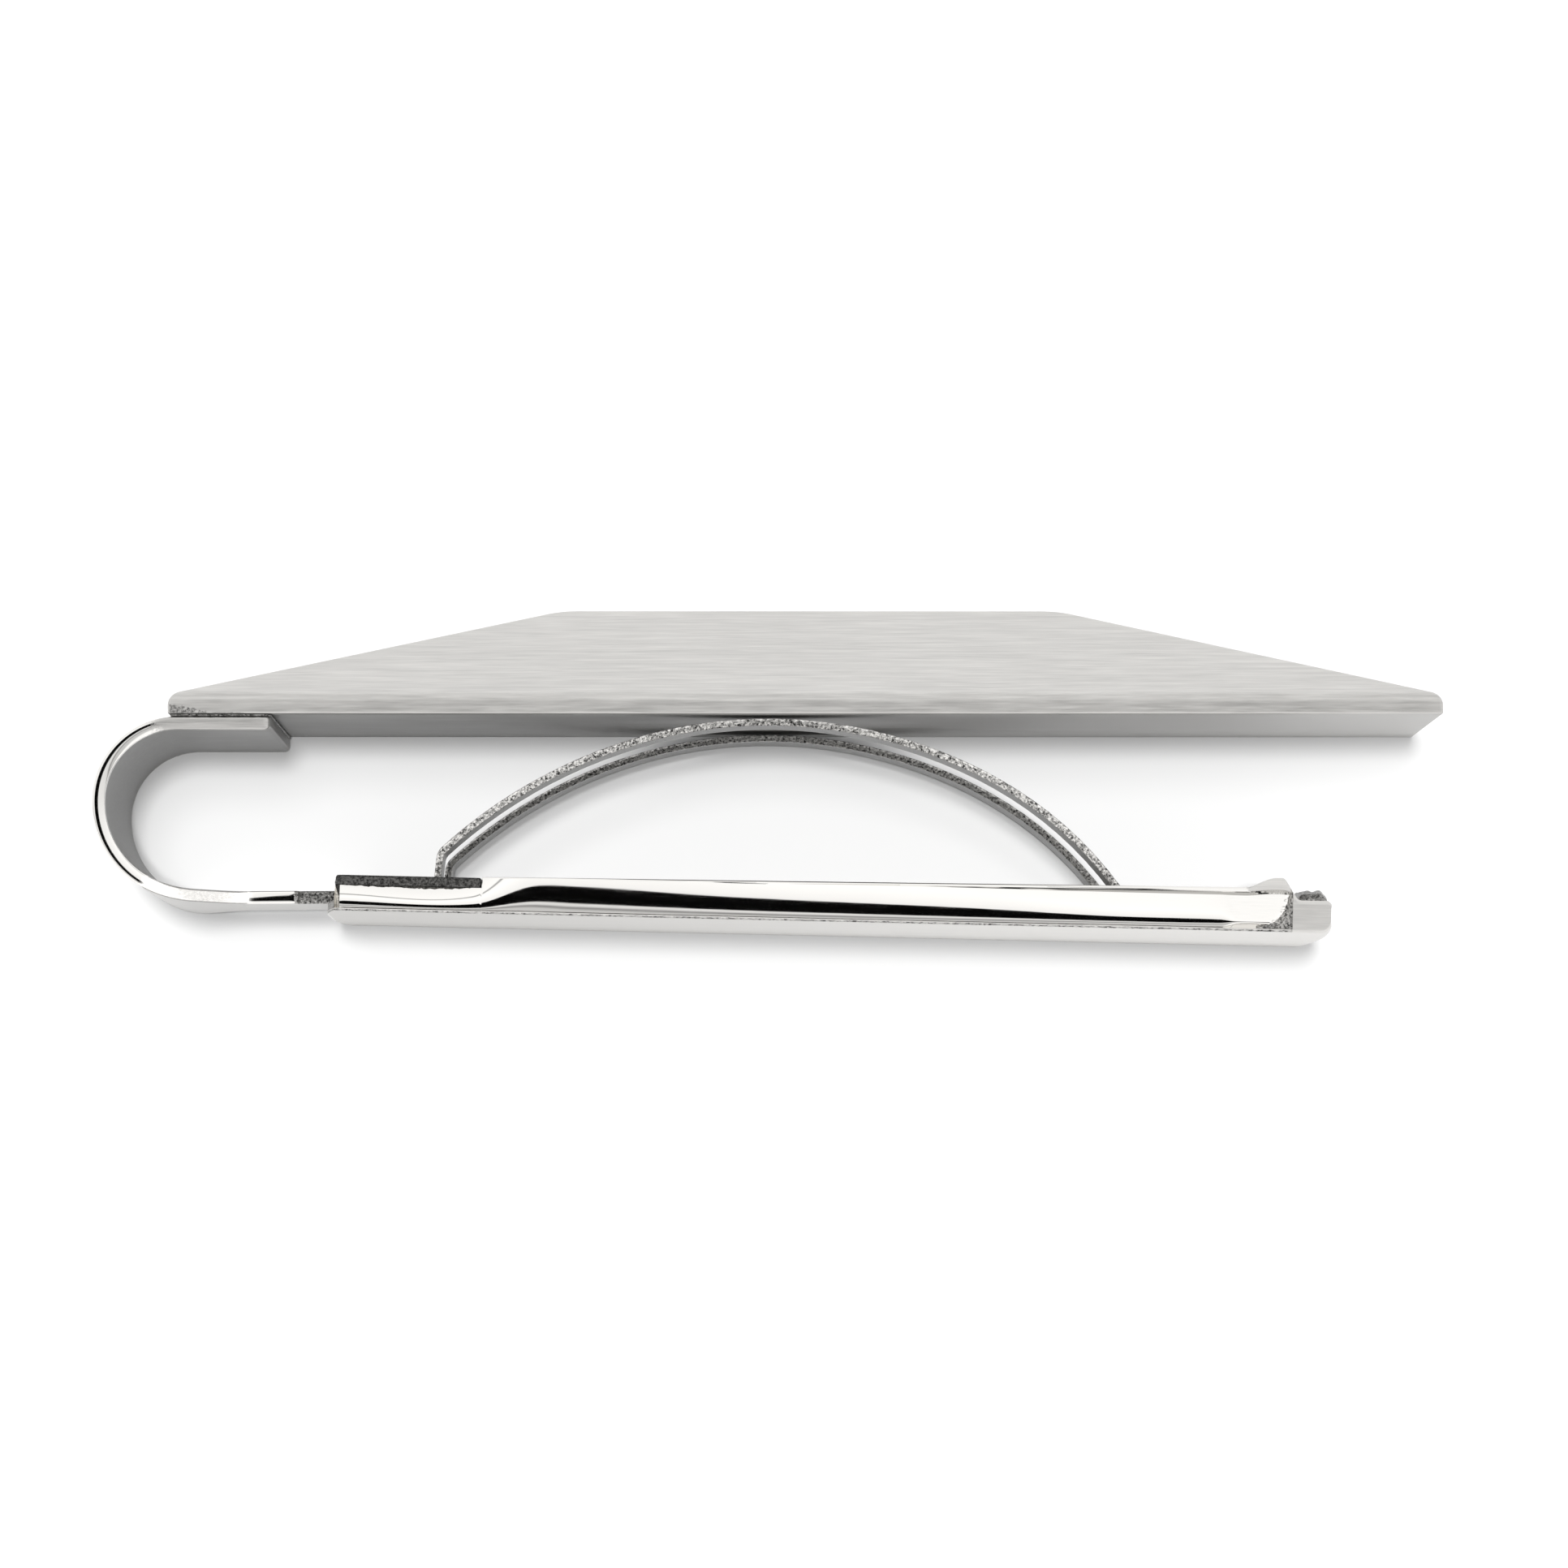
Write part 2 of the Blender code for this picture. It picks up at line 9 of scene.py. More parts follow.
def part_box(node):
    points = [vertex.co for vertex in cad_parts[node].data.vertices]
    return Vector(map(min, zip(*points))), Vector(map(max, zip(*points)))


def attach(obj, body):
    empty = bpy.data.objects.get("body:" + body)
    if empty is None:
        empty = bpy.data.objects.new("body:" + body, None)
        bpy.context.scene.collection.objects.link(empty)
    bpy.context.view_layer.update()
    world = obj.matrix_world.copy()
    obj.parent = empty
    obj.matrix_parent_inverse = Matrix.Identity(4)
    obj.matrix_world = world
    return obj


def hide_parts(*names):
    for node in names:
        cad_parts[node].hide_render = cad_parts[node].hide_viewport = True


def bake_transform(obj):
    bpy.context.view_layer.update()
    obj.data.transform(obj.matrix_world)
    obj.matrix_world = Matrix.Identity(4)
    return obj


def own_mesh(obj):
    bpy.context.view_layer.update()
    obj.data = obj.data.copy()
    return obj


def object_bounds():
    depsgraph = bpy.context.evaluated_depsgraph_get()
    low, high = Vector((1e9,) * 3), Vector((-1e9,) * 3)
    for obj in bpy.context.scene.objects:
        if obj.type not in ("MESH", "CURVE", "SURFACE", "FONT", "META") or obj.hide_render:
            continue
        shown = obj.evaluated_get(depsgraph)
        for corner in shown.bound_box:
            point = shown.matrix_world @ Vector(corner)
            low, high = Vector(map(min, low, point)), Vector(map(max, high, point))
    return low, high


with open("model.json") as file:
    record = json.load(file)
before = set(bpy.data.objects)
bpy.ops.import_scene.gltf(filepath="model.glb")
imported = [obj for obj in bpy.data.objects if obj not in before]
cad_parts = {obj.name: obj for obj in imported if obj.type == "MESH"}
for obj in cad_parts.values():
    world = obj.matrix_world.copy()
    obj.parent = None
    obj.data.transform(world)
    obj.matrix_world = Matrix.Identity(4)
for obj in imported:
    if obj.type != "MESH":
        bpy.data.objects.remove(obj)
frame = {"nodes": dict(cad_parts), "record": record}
CAD_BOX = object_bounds()
MM = 0.001
RECORD = frame["record"]
SCENE = bpy.context.scene


def named(entries, name):
    """The entry of a list in the record that has this name."""
    return next(entry for entry in entries if entry["name"] == name)


PLATE_LOW, PLATE_HIGH = [Vector(corner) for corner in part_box("front_plate")]
SEAM_LOW, SEAM_HIGH = [Vector(corner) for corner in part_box("braze_seam")]
STRIP_LOW, STRIP_HIGH = [Vector(corner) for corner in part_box("spring_strip")]
BOW_LOW, BOW_HIGH = [Vector(corner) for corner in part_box("bow_spring")]
JOINTS = RECORD["behaviour"]["joints"]
PIVOT = Vector(named(JOINTS, "arm_hinge")["pos_m"])
FLEX = Vector(named(JOINTS, "strip_flex")["pos_m"])
SWING = math.radians(named(JOINTS, "arm_hinge")["range_deg"][1])
PLATE_EDGE_HEIGHT = 0.80 * MM
PLATE_EDGE_Y = PLATE_LOW.y + PLATE_EDGE_HEIGHT
WIDTH = PLATE_HIGH.z
MID_Z = WIDTH / 2
BACK_AXIS = Vector(named(RECORD["mounts"], "arm_back")["axis"])
ARM_SLOPE = math.atan2(BACK_AXIS.x, -BACK_AXIS.y)
ARM_MATRIX = Matrix.Translation(PIVOT) @ Matrix.Rotation(ARM_SLOPE, 4, "Z")


# ---------------------------------------------------------------- mesh helpers


def smooth(low, high, value):
    """0 below low, 1 above high, and an even S-curve between them."""
    share = min(max((value - low) / (high - low), 0.0), 1.0)
    return share * share * (3 - 2 * share)


def rough(point, size, seed=0.0):
    """Smooth random number from -1 to 1, with lumps of the given size."""
    return noise.noise(Vector(point) / size + Vector((seed, 2 * seed, -seed)))


def rounded(corners, steps=4):
    """Points round a polygon of (a, b, radius, runs).

    Each corner is an arc of that radius, and the side after it is cut in so many runs.
    """
    count = len(corners)
    arcs = []
    for i, (a, b, radius, runs) in enumerate(corners):
        before = Vector(corners[i - 1][:2])
        after = Vector(corners[(i + 1) % count][:2])
        here = Vector((a, b))
        arriving = (here - before).normalized()
        leaving = (after - here).normalized()
        turn = math.atan2(arriving.cross(leaving), arriving.dot(leaving))
        reach = radius * math.tan(abs(turn) / 2)
        start = here - arriving * reach
        side = Vector((-arriving.y, arriving.x)) * math.copysign(radius, turn)
        center = start + side
        points = []
        for k in range(steps + 1):
            angle = turn * k / steps
            turned = Vector((
                -side.x * math.cos(angle) + side.y * math.sin(angle),
                -side.x * math.sin(angle) - side.y * math.cos(angle),
            ))
            points.append(center + turned)
        arcs.append((points, runs))
    outline = []
    for i, (points, runs) in enumerate(arcs):
        outline += points
        last = points[-1]
        first = arcs[(i + 1) % count][0][0]
        outline += [last.lerp(first, k / runs) for k in range(1, runs)]
    return outline


def new_piece(name, bm, material, angle=35):
    """Turn a bmesh into a named object, shaded smoothly up to an angle between faces, in degrees."""
    bmesh.ops.recalc_face_normals(bm, faces=bm.faces)
    mesh = bpy.data.meshes.new(name)
    bm.to_mesh(mesh)
    bm.free()
    mesh.shade_smooth()
    mesh.set_sharp_from_angle(angle=math.radians(angle))
    mesh.materials.append(material)
    piece = bpy.data.objects.new(name, mesh)
    SCENE.collection.objects.link(piece)
    return piece


# Vertex layers: shares of the satin and rough finishes, and painted light, which paints shade where positive
# and a highlight where negative
FINISH_AND_LIGHT_LAYERS = ("satin", "rough", "painted_light")


def finished_mesh(*values):
    """An empty mesh, and a function that gives all its points these shares of each finish and of painted
    light.
    """
    bm = bmesh.new()
    layers = [bm.verts.layers.float.new(name) for name in FINISH_AND_LIGHT_LAYERS]

    def spread():
        for vert in bm.verts:
            for layer, value in zip(layers, values):
                vert[layer] = value

    return bm, spread


def rod(radius, length, segments, *finish):
    """A round rod along Z about the origin."""
    bm, spread = finished_mesh(*finish)
    bmesh.ops.create_cone(
        bm, cap_ends=True, segments=segments, radius1=radius, radius2=radius, depth=length
    )
    spread()
    return bm


def loft(rings, finishes):
    """A closed skin over rings of points in the same order; finishes gives each point's shares of the
    finishes and of painted light.
    """
    bm = bmesh.new()
    layers = [bm.verts.layers.float.new(name) for name in FINISH_AND_LIGHT_LAYERS]
    rows = [[bm.verts.new(point) for point in ring] for ring in rings]
    for row, after in zip(rows, rows[1:]):
        for i in range(len(row)):
            j = (i + 1) % len(row)
            bm.faces.new((row[i], row[j], after[j], after[i]))
    bm.faces.new(rows[0][::-1])
    bm.faces.new(rows[-1])
    for row, shares in zip(rows, finishes):
        for vert, values in zip(row, shares):
            for layer, value in zip(layers, values):
                vert[layer] = value
    return bm


def apply_boolean(piece, other, operation):
    """Join or cut a piece with another mesh, which is then removed."""
    modifier = piece.modifiers.new("join", "BOOLEAN")
    modifier.operation = operation
    modifier.solver = "EXACT"
    modifier.object = other
    bpy.context.view_layer.update()
    evaluated = piece.evaluated_get(bpy.context.evaluated_depsgraph_get())
    mesh = bpy.data.meshes.new_from_object(evaluated)
    piece.modifiers.clear()
    piece.data = mesh
    bpy.data.objects.remove(other, do_unlink=True)


# ---------------------------------------------------------------- metal finishes

STEEL_TINT = (1.0, 0.982, 0.95)
# Painted light: how much it darkens the colour (a negative value brightens it into a painted highlight), how
# far it makes the metal matte, and the specular level of that matte part
PAINTED_SHADE_LOSS = 0.75
MATTE_WHERE_PAINTED = 0.95
MATTE_SPECULAR = 0.1
LEAST_VALUE = 0.02
CLOUD_CONTRAST = 0.06
SATIN_CLOUDS = 0.006
GRAIN_GLOSS = 0.35
POLISHED_GRAIN = 0.03
GRAIN_DEPTH = 0.0016 * MM
NO_CEILING = 1.0
PER_MM = 1 / MM


class Nodes:
    """A node tree, with short ways to add nodes to it."""

    def __init__(self, tree):
        self.tree = tree

    def put(self, socket, value):
        if isinstance(value, bpy.types.NodeSocket):
            self.tree.links.new(value, socket)
        else:
            socket.default_value = value

    def math(self, operation, *values, clamp=False):
        node = self.tree.nodes.new("ShaderNodeMath")
        node.operation = operation
        node.use_clamp = clamp
        for socket, value in zip(node.inputs, values):
            self.put(socket, value)
        return node.outputs[0]

    def spread(self, value, low, high, new_low=0.0, new_high=1.0, style="LINEAR"):
        """Map a value's range from low..high to new_low..new_high."""
        node = self.tree.nodes.new("ShaderNodeMapRange")
        node.interpolation_type = style
        for socket, number in zip(node.inputs, (value, low, high, new_low, new_high)):
            self.put(socket, number)
        return node.outputs[0]

    def parts(self, coordinates):
        """The X, Y and Z of a texture coordinate."""
        node = self.tree.nodes.new("ShaderNodeSeparateXYZ")
        self.put(node.inputs[0], self.tree.nodes.new("ShaderNodeTexCoord").outputs[coordinates])
        return node.outputs


class Metal(Nodes):
    """A procedural metal, built node by node on one Principled shader.

    Above its ceiling, a height in Y, the patterns don't change with height, so that brushing runs on
    over the facets.
    """

    def __init__(self, name, ceiling):
        self.material = bpy.data.materials.new(name)
        self.material.use_nodes = True
        super().__init__(self.material.node_tree)
        self.shader = self.tree.nodes["Principled BSDF"]
        self.shader.inputs["Metallic"].default_value = 1.0
        x, y, z = self.parts("Object")
        joined = self.tree.nodes.new("ShaderNodeCombineXYZ")
        for socket, part in zip(joined.inputs, (x, self.math("MINIMUM", y, ceiling), z)):
            self.put(socket, part)
        self.coords = joined.outputs[0]

    def mix(self, share, first, second):
        node = self.tree.nodes.new("ShaderNodeMix")
        node.data_type = "FLOAT"
        self.put(node.inputs[0], share)
        self.put(node.inputs[2], first)
        self.put(node.inputs[3], second)
        return node.outputs[0]

    def noise(self, lumps, detail=3.0, roughness=0.5):
        """Noise with so many lumps per millimetre along each axis."""
        mapping = self.tree.nodes.new("ShaderNodeMapping")
        self.put(mapping.inputs["Vector"], self.coords)
        mapping.inputs["Scale"].default_value = [count * PER_MM for count in lumps]
        node = self.tree.nodes.new("ShaderNodeTexNoise")
        self.put(node.inputs["Vector"], mapping.outputs[0])
        node.inputs["Scale"].default_value = 1.0
        node.inputs["Detail"].default_value = detail
        node.inputs["Roughness"].default_value = roughness
        return node.outputs[0]

    def attribute(self, name):
        """The value of a vertex layer, a finish's share or the painted light, as the mesh's points carry it.
        """
        node = self.tree.nodes.new("ShaderNodeAttribute")
        node.attribute_name = name
        return node.outputs["Fac"]

    def share(self, name, ragged=0.25):
        """How far a finish covers a point: the mesh's own value, with a ragged border."""
        lumps = self.noise((5, 5, 5), 4.0, 0.65)
        layer_amount = self.math("ADD", self.spread(lumps, 0.3, 0.7, -ragged, ragged), self.attribute(name))
        return self.spread(layer_amount, 0.4, 0.6, style="SMOOTHSTEP")

    def color(self, value):
        node = self.tree.nodes.new("ShaderNodeVectorMath")
        node.operation = "SCALE"
        node.inputs[0].default_value = STEEL_TINT
        self.put(node.inputs["Scale"], value)
        self.put(self.shader.inputs["Base Color"], node.outputs[0])

    def bump(self, height, depth, normal=None):
        node = self.tree.nodes.new("ShaderNodeBump")
        node.inputs["Distance"].default_value = depth
        node.inputs["Strength"].default_value = 1.0
        self.put(node.inputs["Height"], height)
        if normal:
            self.put(node.inputs["Normal"], normal)
        return node.outputs[0]


def steel(name, polish, satin, broken, grain=(0.35, 20, 20), ceiling=NO_CEILING):
    """Steel with three finishes that the mesh's shares mix, and painted light: painted shade that darkens
    them, and where negative a painted highlight that brightens them.

    polish is (brightness, roughness), and satin is (brightness, roughness, contrast of the grain).
    broken, the look of a sheared or brazed surface, is (darkest, lightest, roughness, depth of its pits).
    grain is how many lines there are per millimetre along each axis.
    """
    metal = Metal(name, ceiling)
    lines = metal.noise(grain, 4.0, 0.6)
    scratches = metal.noise([count * 2.3 for count in grain], 2.0)
    clouds = metal.noise((0.15, 0.5, 0.5), 2.0)
    pits = metal.noise((9, 9, 9), 5.0, 0.75)
    satin_share = metal.share("satin", 0.1)
    broken_share = metal.share("rough")

    swirl = metal.spread(scratches, 0.35, 0.75, -0.012, 0.03)
    polish_value = metal.math("MULTIPLY_ADD", clouds, -CLOUD_CONTRAST, polish[0] + CLOUD_CONTRAST / 2)
    polish_rough = metal.math("ADD", swirl, polish[1])
    lined = metal.math("SUBTRACT", metal.mix(0.35, lines, scratches), 0.5)
    even = metal.spread(clouds, 0.3, 0.7, satin[0] - SATIN_CLOUDS, satin[0] + SATIN_CLOUDS)
    satin_value = metal.math("MULTIPLY_ADD", lined, satin[2], even)
    satin_rough = metal.math("MULTIPLY_ADD", lined, GRAIN_GLOSS, satin[1])
    broken_value = metal.spread(pits, 0.40, 0.60, broken[0], broken[1])
    broken_rough = metal.spread(pits, 0.3, 0.7, broken[2] + 0.12, broken[2] - 0.1)

    value = metal.mix(broken_share, metal.mix(satin_share, polish_value, satin_value), broken_value)
    # Painted light from the mesh: painted shade darkens the colour, a negative value brightens it into a
    # painted highlight, and both make the metal matte so that the suns light it
    painted_light = metal.attribute("painted_light")
    painted_light_factor = metal.math("MULTIPLY_ADD", painted_light, -PAINTED_SHADE_LOSS, 1.0)
    matte = metal.math("MULTIPLY_ADD", metal.math("ABSOLUTE", painted_light), -MATTE_WHERE_PAINTED, 1.0, clamp=True)
    metal.put(metal.shader.inputs["Metallic"], matte)
    metal.shader.inputs["Specular IOR Level"].default_value = MATTE_SPECULAR
    metal.color(metal.math("MAXIMUM", metal.math("MULTIPLY", value, painted_light_factor), LEAST_VALUE))
    gloss = metal.mix(broken_share, metal.mix(satin_share, polish_rough, satin_rough), broken_rough)
    metal.put(metal.shader.inputs["Roughness"], metal.math("MAXIMUM", gloss, LEAST_VALUE))

    grain_height = metal.math("MULTIPLY", lined, metal.mix(satin_share, POLISHED_GRAIN, 1.0))
    normal = metal.bump(grain_height, GRAIN_DEPTH)
    normal = metal.bump(metal.math("MULTIPLY", pits, broken_share), broken[3], normal)
    metal.put(metal.shader.inputs["Normal"], normal)
    return metal.material


METAL_LOOKS = {
    "plate_brushed": {
        "polish": (0.56, 0.30),
        "satin": (0.54, 0.38, 0.55),
        "broken": (0.08, 0.45, 0.40, 0.03 * MM),
        "grain": (0.30, 5, 5),
        "ceiling": PLATE_EDGE_Y,
    },
    "braze_filler": {
        "polish": (0.15, 0.5),
        "satin": (0.15, 0.5, 0.2),
        "broken": (0.03, 0.40, 0.45, 0.04 * MM),
    },
    "strip_steel": {
        "polish": (0.80, 0.05),
        "satin": (0.50, 0.35, 0.60),
        "broken": (0.02, 0.60, 0.28, 0.06 * MM),
        "grain": (0.4, 12, 5),
    },
    "pin_steel": {
        "polish": (0.50, 0.25),
        "satin": (0.45, 0.35, 0.3),
        "broken": (0.1, 0.5, 0.4, 0.03 * MM),
        "grain": (9, 9, 0.5),
    },
    "arm_polished": {
        "polish": (0.82, 0.04),
        "satin": (0.64, 0.42, 0.35),
        "broken": (0.05, 0.65, 0.30, 0.06 * MM),
        "grain": (0.4, 9, 9),
    },
    "cover_steel": {
        "polish": (0.35, 0.2),
        "satin": (0.30, 0.35, 0.3),
        "broken": (0.02, 0.16, 0.32, 0.06 * MM),
    },
    "bow_steel": {
        "polish": (0.55, 0.16),
        "satin": (0.40, 0.30, 0.25),
        "broken": (0.02, 0.95, 0.28, 0.06 * MM),
        "grain": (0.5, 15, 15),
    },
}
METALS = {slot: steel(slot, **look) for slot, look in METAL_LOOKS.items()}


# ---------------------------------------------------------------- front plate

RIDGE_LEFT = PLATE_LOW.x + 16.00 * MM
RIDGE_RIGHT = PLATE_HIGH.x - 15.53 * MM
RIDGE_HALF_FLAT = 0.15 * MM
RIDGE_END_ROUNDING = 0.60 * MM
PLATE_CORNER = 0.14 * MM
PLATE_BACK_ROUNDING = 0.05 * MM
SIDE_CREASE_RADIUS = 0.42 * MM
END_CREASE_RADIUS = 0.62 * MM
CREASE_OVERRUN = 0.25 * MM
RIDGE_ZONE = 0.30 * MM
FINE_LEVELS = 24
RISE = PLATE_HIGH.y - PLATE_EDGE_Y
# Painted shade on the plate's back: its strength at the seam's end, and how much less it is at the far end
PAINTED_SHADE_AT_SEAM = 1.06
PAINTED_SHADE_FADE = 0.60
RESIDUE_HEIGHT = 0.42 * MM
RESIDUE_LEAST_HEIGHT = 0.05 * MM
RESIDUE_SHARE = 0.62


def creased(y, slope, radius):
    """How far a wall stands back at height y, where it turns over an edge into a facet of that slope."""
    turn = math.atan(slope)
    start = PLATE_EDGE_Y - radius * math.tan(turn / 2)
    if y <= start:
        back = PLATE_LOW.y + PLATE_BACK_ROUNDING - y
        return max(back, 0.0) ** 2 / PLATE_BACK_ROUNDING
    if y - start < radius * math.sin(turn):
        return radius - math.sqrt(radius ** 2 - (y - start) ** 2)
    return (y - PLATE_EDGE_Y) * slope


def plate_levels():
    """Heights of the rings, close together where the surface turns."""
    levels = [PLATE_LOW.y + PLATE_BACK_ROUNDING * k / 3 for k in range(4)]
    crease_start = PLATE_EDGE_Y - END_CREASE_RADIUS
    crease = END_CREASE_RADIUS + CREASE_OVERRUN
    levels += [crease_start + crease * k / FINE_LEVELS for k in range(FINE_LEVELS + 1)]
    low = levels[-1]
    high = PLATE_HIGH.y - RIDGE_ZONE
    levels += [low + (high - low) * k / FINE_LEVELS for k in range(1, FINE_LEVELS + 1)]
    levels += [high + (PLATE_HIGH.y - high) * (1 - (1 - k / 10) ** 2) for k in range(1, 11)]
    return levels


def ridge_end(y, edge, ridge, radius):
    """Where a plate's end lies at height y: the end wall, its facet, then a rounded end of the ridge."""
    inward = math.copysign(1.0, ridge - edge)
    slope = abs(ridge - edge) / RISE
    turn = math.atan(1 / slope)
    arc_radius = RIDGE_END_ROUNDING / math.tan(turn / 2)
    drop = PLATE_HIGH.y - y
    if drop < arc_radius * (1 - math.cos(turn)):
        reach = math.sqrt(max(2 * arc_radius * drop - drop ** 2, 0.0))
        return ridge + inward * (RIDGE_END_ROUNDING - reach)
    return edge + inward * creased(y, slope, radius)


def make_front_plate():
    """A slab with rounded edges, whose front rises in four brushed facets to a ridge."""
    side_slope = (WIDTH / 2 - RIDGE_HALF_FLAT) / RISE
    rings = []
    for y in plate_levels():
        half = WIDTH / 2 - creased(y, side_slope, SIDE_CREASE_RADIUS)
        left = ridge_end(y, PLATE_LOW.x, RIDGE_LEFT, END_CREASE_RADIUS)
        right = ridge_end(y, PLATE_HIGH.x, RIDGE_RIGHT, END_CREASE_RADIUS)
        corner = min(PLATE_CORNER, half * 0.9)
        outline = rounded([
            (left, -half, corner, 60),
            (right, -half, corner, 12),
            (right, half, corner, 60),
            (left, half, corner, 12),
        ])
        rings.append([Vector((x, y, MID_Z + z)) for x, z in outline])
    # The third share is painted shade on the plate's back
    finishes = [[(1.0, seam_residue(point), painted_shade_on_back(point)) for point in ring] for ring in rings]
    plate = new_piece("brushed_face_plate", loft(rings, finishes), METALS["plate_brushed"], angle=50)
    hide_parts("front_plate")
    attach(plate, "front")


def painted_shade_on_back(point):
    """Painted shade on the plate's back: darkest at the seam's end, and less towards the far end."""
    back = 1 - smooth(0.3 * PLATE_BACK_ROUNDING, PLATE_BACK_ROUNDING, point.y - PLATE_LOW.y)
    along = (point.x - PLATE_LOW.x) / (PLATE_HIGH.x - PLATE_LOW.x)
    return back * (PAINTED_SHADE_AT_SEAM - PAINTED_SHADE_FADE * along)


def seam_residue(point):
    """Filler left on the plate's narrow sides, just over the seam and only near the left end."""
    if abs(point.z - MID_Z) < WIDTH / 2 - 0.02 * MM:
        return 0.0
    length = point.x - PLATE_LOW.x
    height = point.y - PLATE_LOW.y
    reach = RESIDUE_HEIGHT * (1 - smooth(0.3 * MM, 1.9 * MM, length)) + RESIDUE_LEAST_HEIGHT
    fade = 1 - smooth(2.6 * MM, 4.2 * MM, length)
    return RESIDUE_SHARE * fade * (1 - smooth(0.6 * reach, 1.4 * reach, height))


make_front_plate()


# ---------------------------------------------------------------- braze seam

SEAM_BULGE = 0.06 * MM
SEAM_REACH = 0.08 * MM
SEAM_CORNER = 0.1 * MM
SEAM_HALF_TURN = 80
SEAM_RINGS = 7


def make_braze_seam():
    """The film of filler between plate and tab, with a lumpy bead all round its edge."""
    middle = (SEAM_LOW.y + SEAM_HIGH.y) / 2
    half = (SEAM_HIGH.y - SEAM_LOW.y) / 2
    center = (SEAM_LOW + SEAM_HIGH) / 2
    size = (SEAM_HIGH - SEAM_LOW) / 2
    rings = []
    for k in range(SEAM_RINGS):
        angle = math.radians(2 * SEAM_HALF_TURN * k / (SEAM_RINGS - 1) - SEAM_HALF_TURN)
        outline = rounded([
            (-size.x, -size.z, SEAM_CORNER, 50),
            (size.x, -size.z, SEAM_CORNER, 160),
            (size.x, size.z, SEAM_CORNER, 50),
            (-size.x, size.z, SEAM_CORNER, 160),
        ])
        ring = []
        for x, z in outline:
            out = Vector((x / size.x, z / size.z))
            place = (x, angle * MM, z)
            lump = rough(place, 0.16 * MM, 3.0) + 0.6 * rough(place, 0.06 * MM, 5.0)
            bulge = SEAM_BULGE * (math.cos(angle) + 0.8 * lump) + SEAM_REACH
            edge_x = bulge if out.x > 0.99 else -bulge if out.x < -0.99 else 0.0
            edge_z = bulge if out.y > 0.99 else -bulge if out.y < -0.99 else 0.0
            height = middle + half * math.sin(angle)
            ring.append(Vector((center.x + x + edge_x, height, center.z + z + edge_z)))
        rings.append(ring)
    finishes = [[(1.0, 1.0, 0.0) for point in ring] for ring in rings]
    seam = new_piece("braze_bead", loft(rings, finishes), METALS["braze_filler"], angle=70)
    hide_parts("braze_seam")
    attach(seam, "front")


make_braze_seam()


# ---------------------------------------------------------------- spring strip

STRIP_HALF = 0.265 * MM
TAB_Y = STRIP_HIGH.y - STRIP_HALF
TAB_RIGHT = STRIP_LOW.x + 7.325 * MM
BEND_LEFT = FLEX.x
BEND_Y = FLEX.y
UPPER_RADIUS = TAB_Y - BEND_Y
LOWER_RADIUS = 3.78 * MM
TAPER_START = TAB_RIGHT - 4.92 * MM
TAPER_END = TAB_RIGHT - 1.12 * MM
LEG_HALF_WIDTH = 4.20 * MM
NECK_START = TAB_RIGHT + 0.93 * MM
NECK_HALF_WIDTH = 3.80 * MM
KNUCKLE_RADIUS = 0.56 * MM
BORE_RADIUS = 0.32 * MM
CREST = 0.15 * MM
TAB_CORNER = 0.28 * MM
STREAK_START = TAB_RIGHT - 2.3 * MM
INNER_CORNER = 0.035 * MM
OUTER_CORNER = 0.09 * MM
BEND_STEPS = 64
TAB_STEPS = 24
LEG_STEPS = 44
NECK_STEPS = 30
NECK_SHOULDER = 0.04 * MM
NECK_LUMPS = 0.045 * MM
INNER_CROWN_RADIUS = 1.5 * MM
OUTER_CROWN_RADIUS = 0.5 * MM
# Painted shade on the strip's outer face, more on the leg's underside, and on the tapered edge painted dark
# lines at the corners with a painted highlight between them
OUTSIDE_PAINTED_SHADE = 0.15
LEG_PAINTED_SHADE = 0.40
PAINTED_EDGE_LINE = 1.4
PAINTED_EDGE_HIGHLIGHT = 0.6


def strip_path():
    """Stations (x, y, heading) of the centre line, from the tab's end round the bend to the pivot."""
    stations = []
    start = Vector((BEND_LEFT + UPPER_RADIUS, BEND_Y + UPPER_RADIUS))
    stations.append((TAB_RIGHT, TAB_Y, math.pi))
    for k in range(TAB_STEPS):
        share = (0.02 + 0.98 * k / TAB_STEPS) ** 1.5
        stations.append((TAB_RIGHT + (start.x - TAB_RIGHT) * share, TAB_Y, math.pi))
    for k in range(BEND_STEPS):
        angle = math.radians(90 + 90 * k / BEND_STEPS)
        x = BEND_LEFT + UPPER_RADIUS * (1 + math.cos(angle))
        stations.append((x, BEND_Y + UPPER_RADIUS * math.sin(angle), angle + math.pi / 2))
    for k in range(BEND_STEPS + 1):
        angle = math.radians(180 + 90 * k / BEND_STEPS)
        x = BEND_LEFT + LOWER_RADIUS * (1 + math.cos(angle))
        stations.append((x, BEND_Y + LOWER_RADIUS * math.sin(angle), angle + math.pi / 2))
    leg = Vector(stations[-1][:2])
    heading = 2 * math.pi + math.atan2(PIVOT.y - leg.y, PIVOT.x - leg.x)
    stops = [leg.x + (NECK_START - leg.x) * k / LEG_STEPS for k in range(1, LEG_STEPS + 1)]
    stops += [NECK_START + NECK_SHOULDER]
    stops += [stops[-1] + (PIVOT.x - stops[-1]) * k / NECK_STEPS for k in range(1, NECK_STEPS + 1)]
    for x in stops:
        share = (x - leg.x) / (PIVOT.x - leg.x)
        stations.append((x, leg.y + share * (PIVOT.y - leg.y), heading))
    return stations


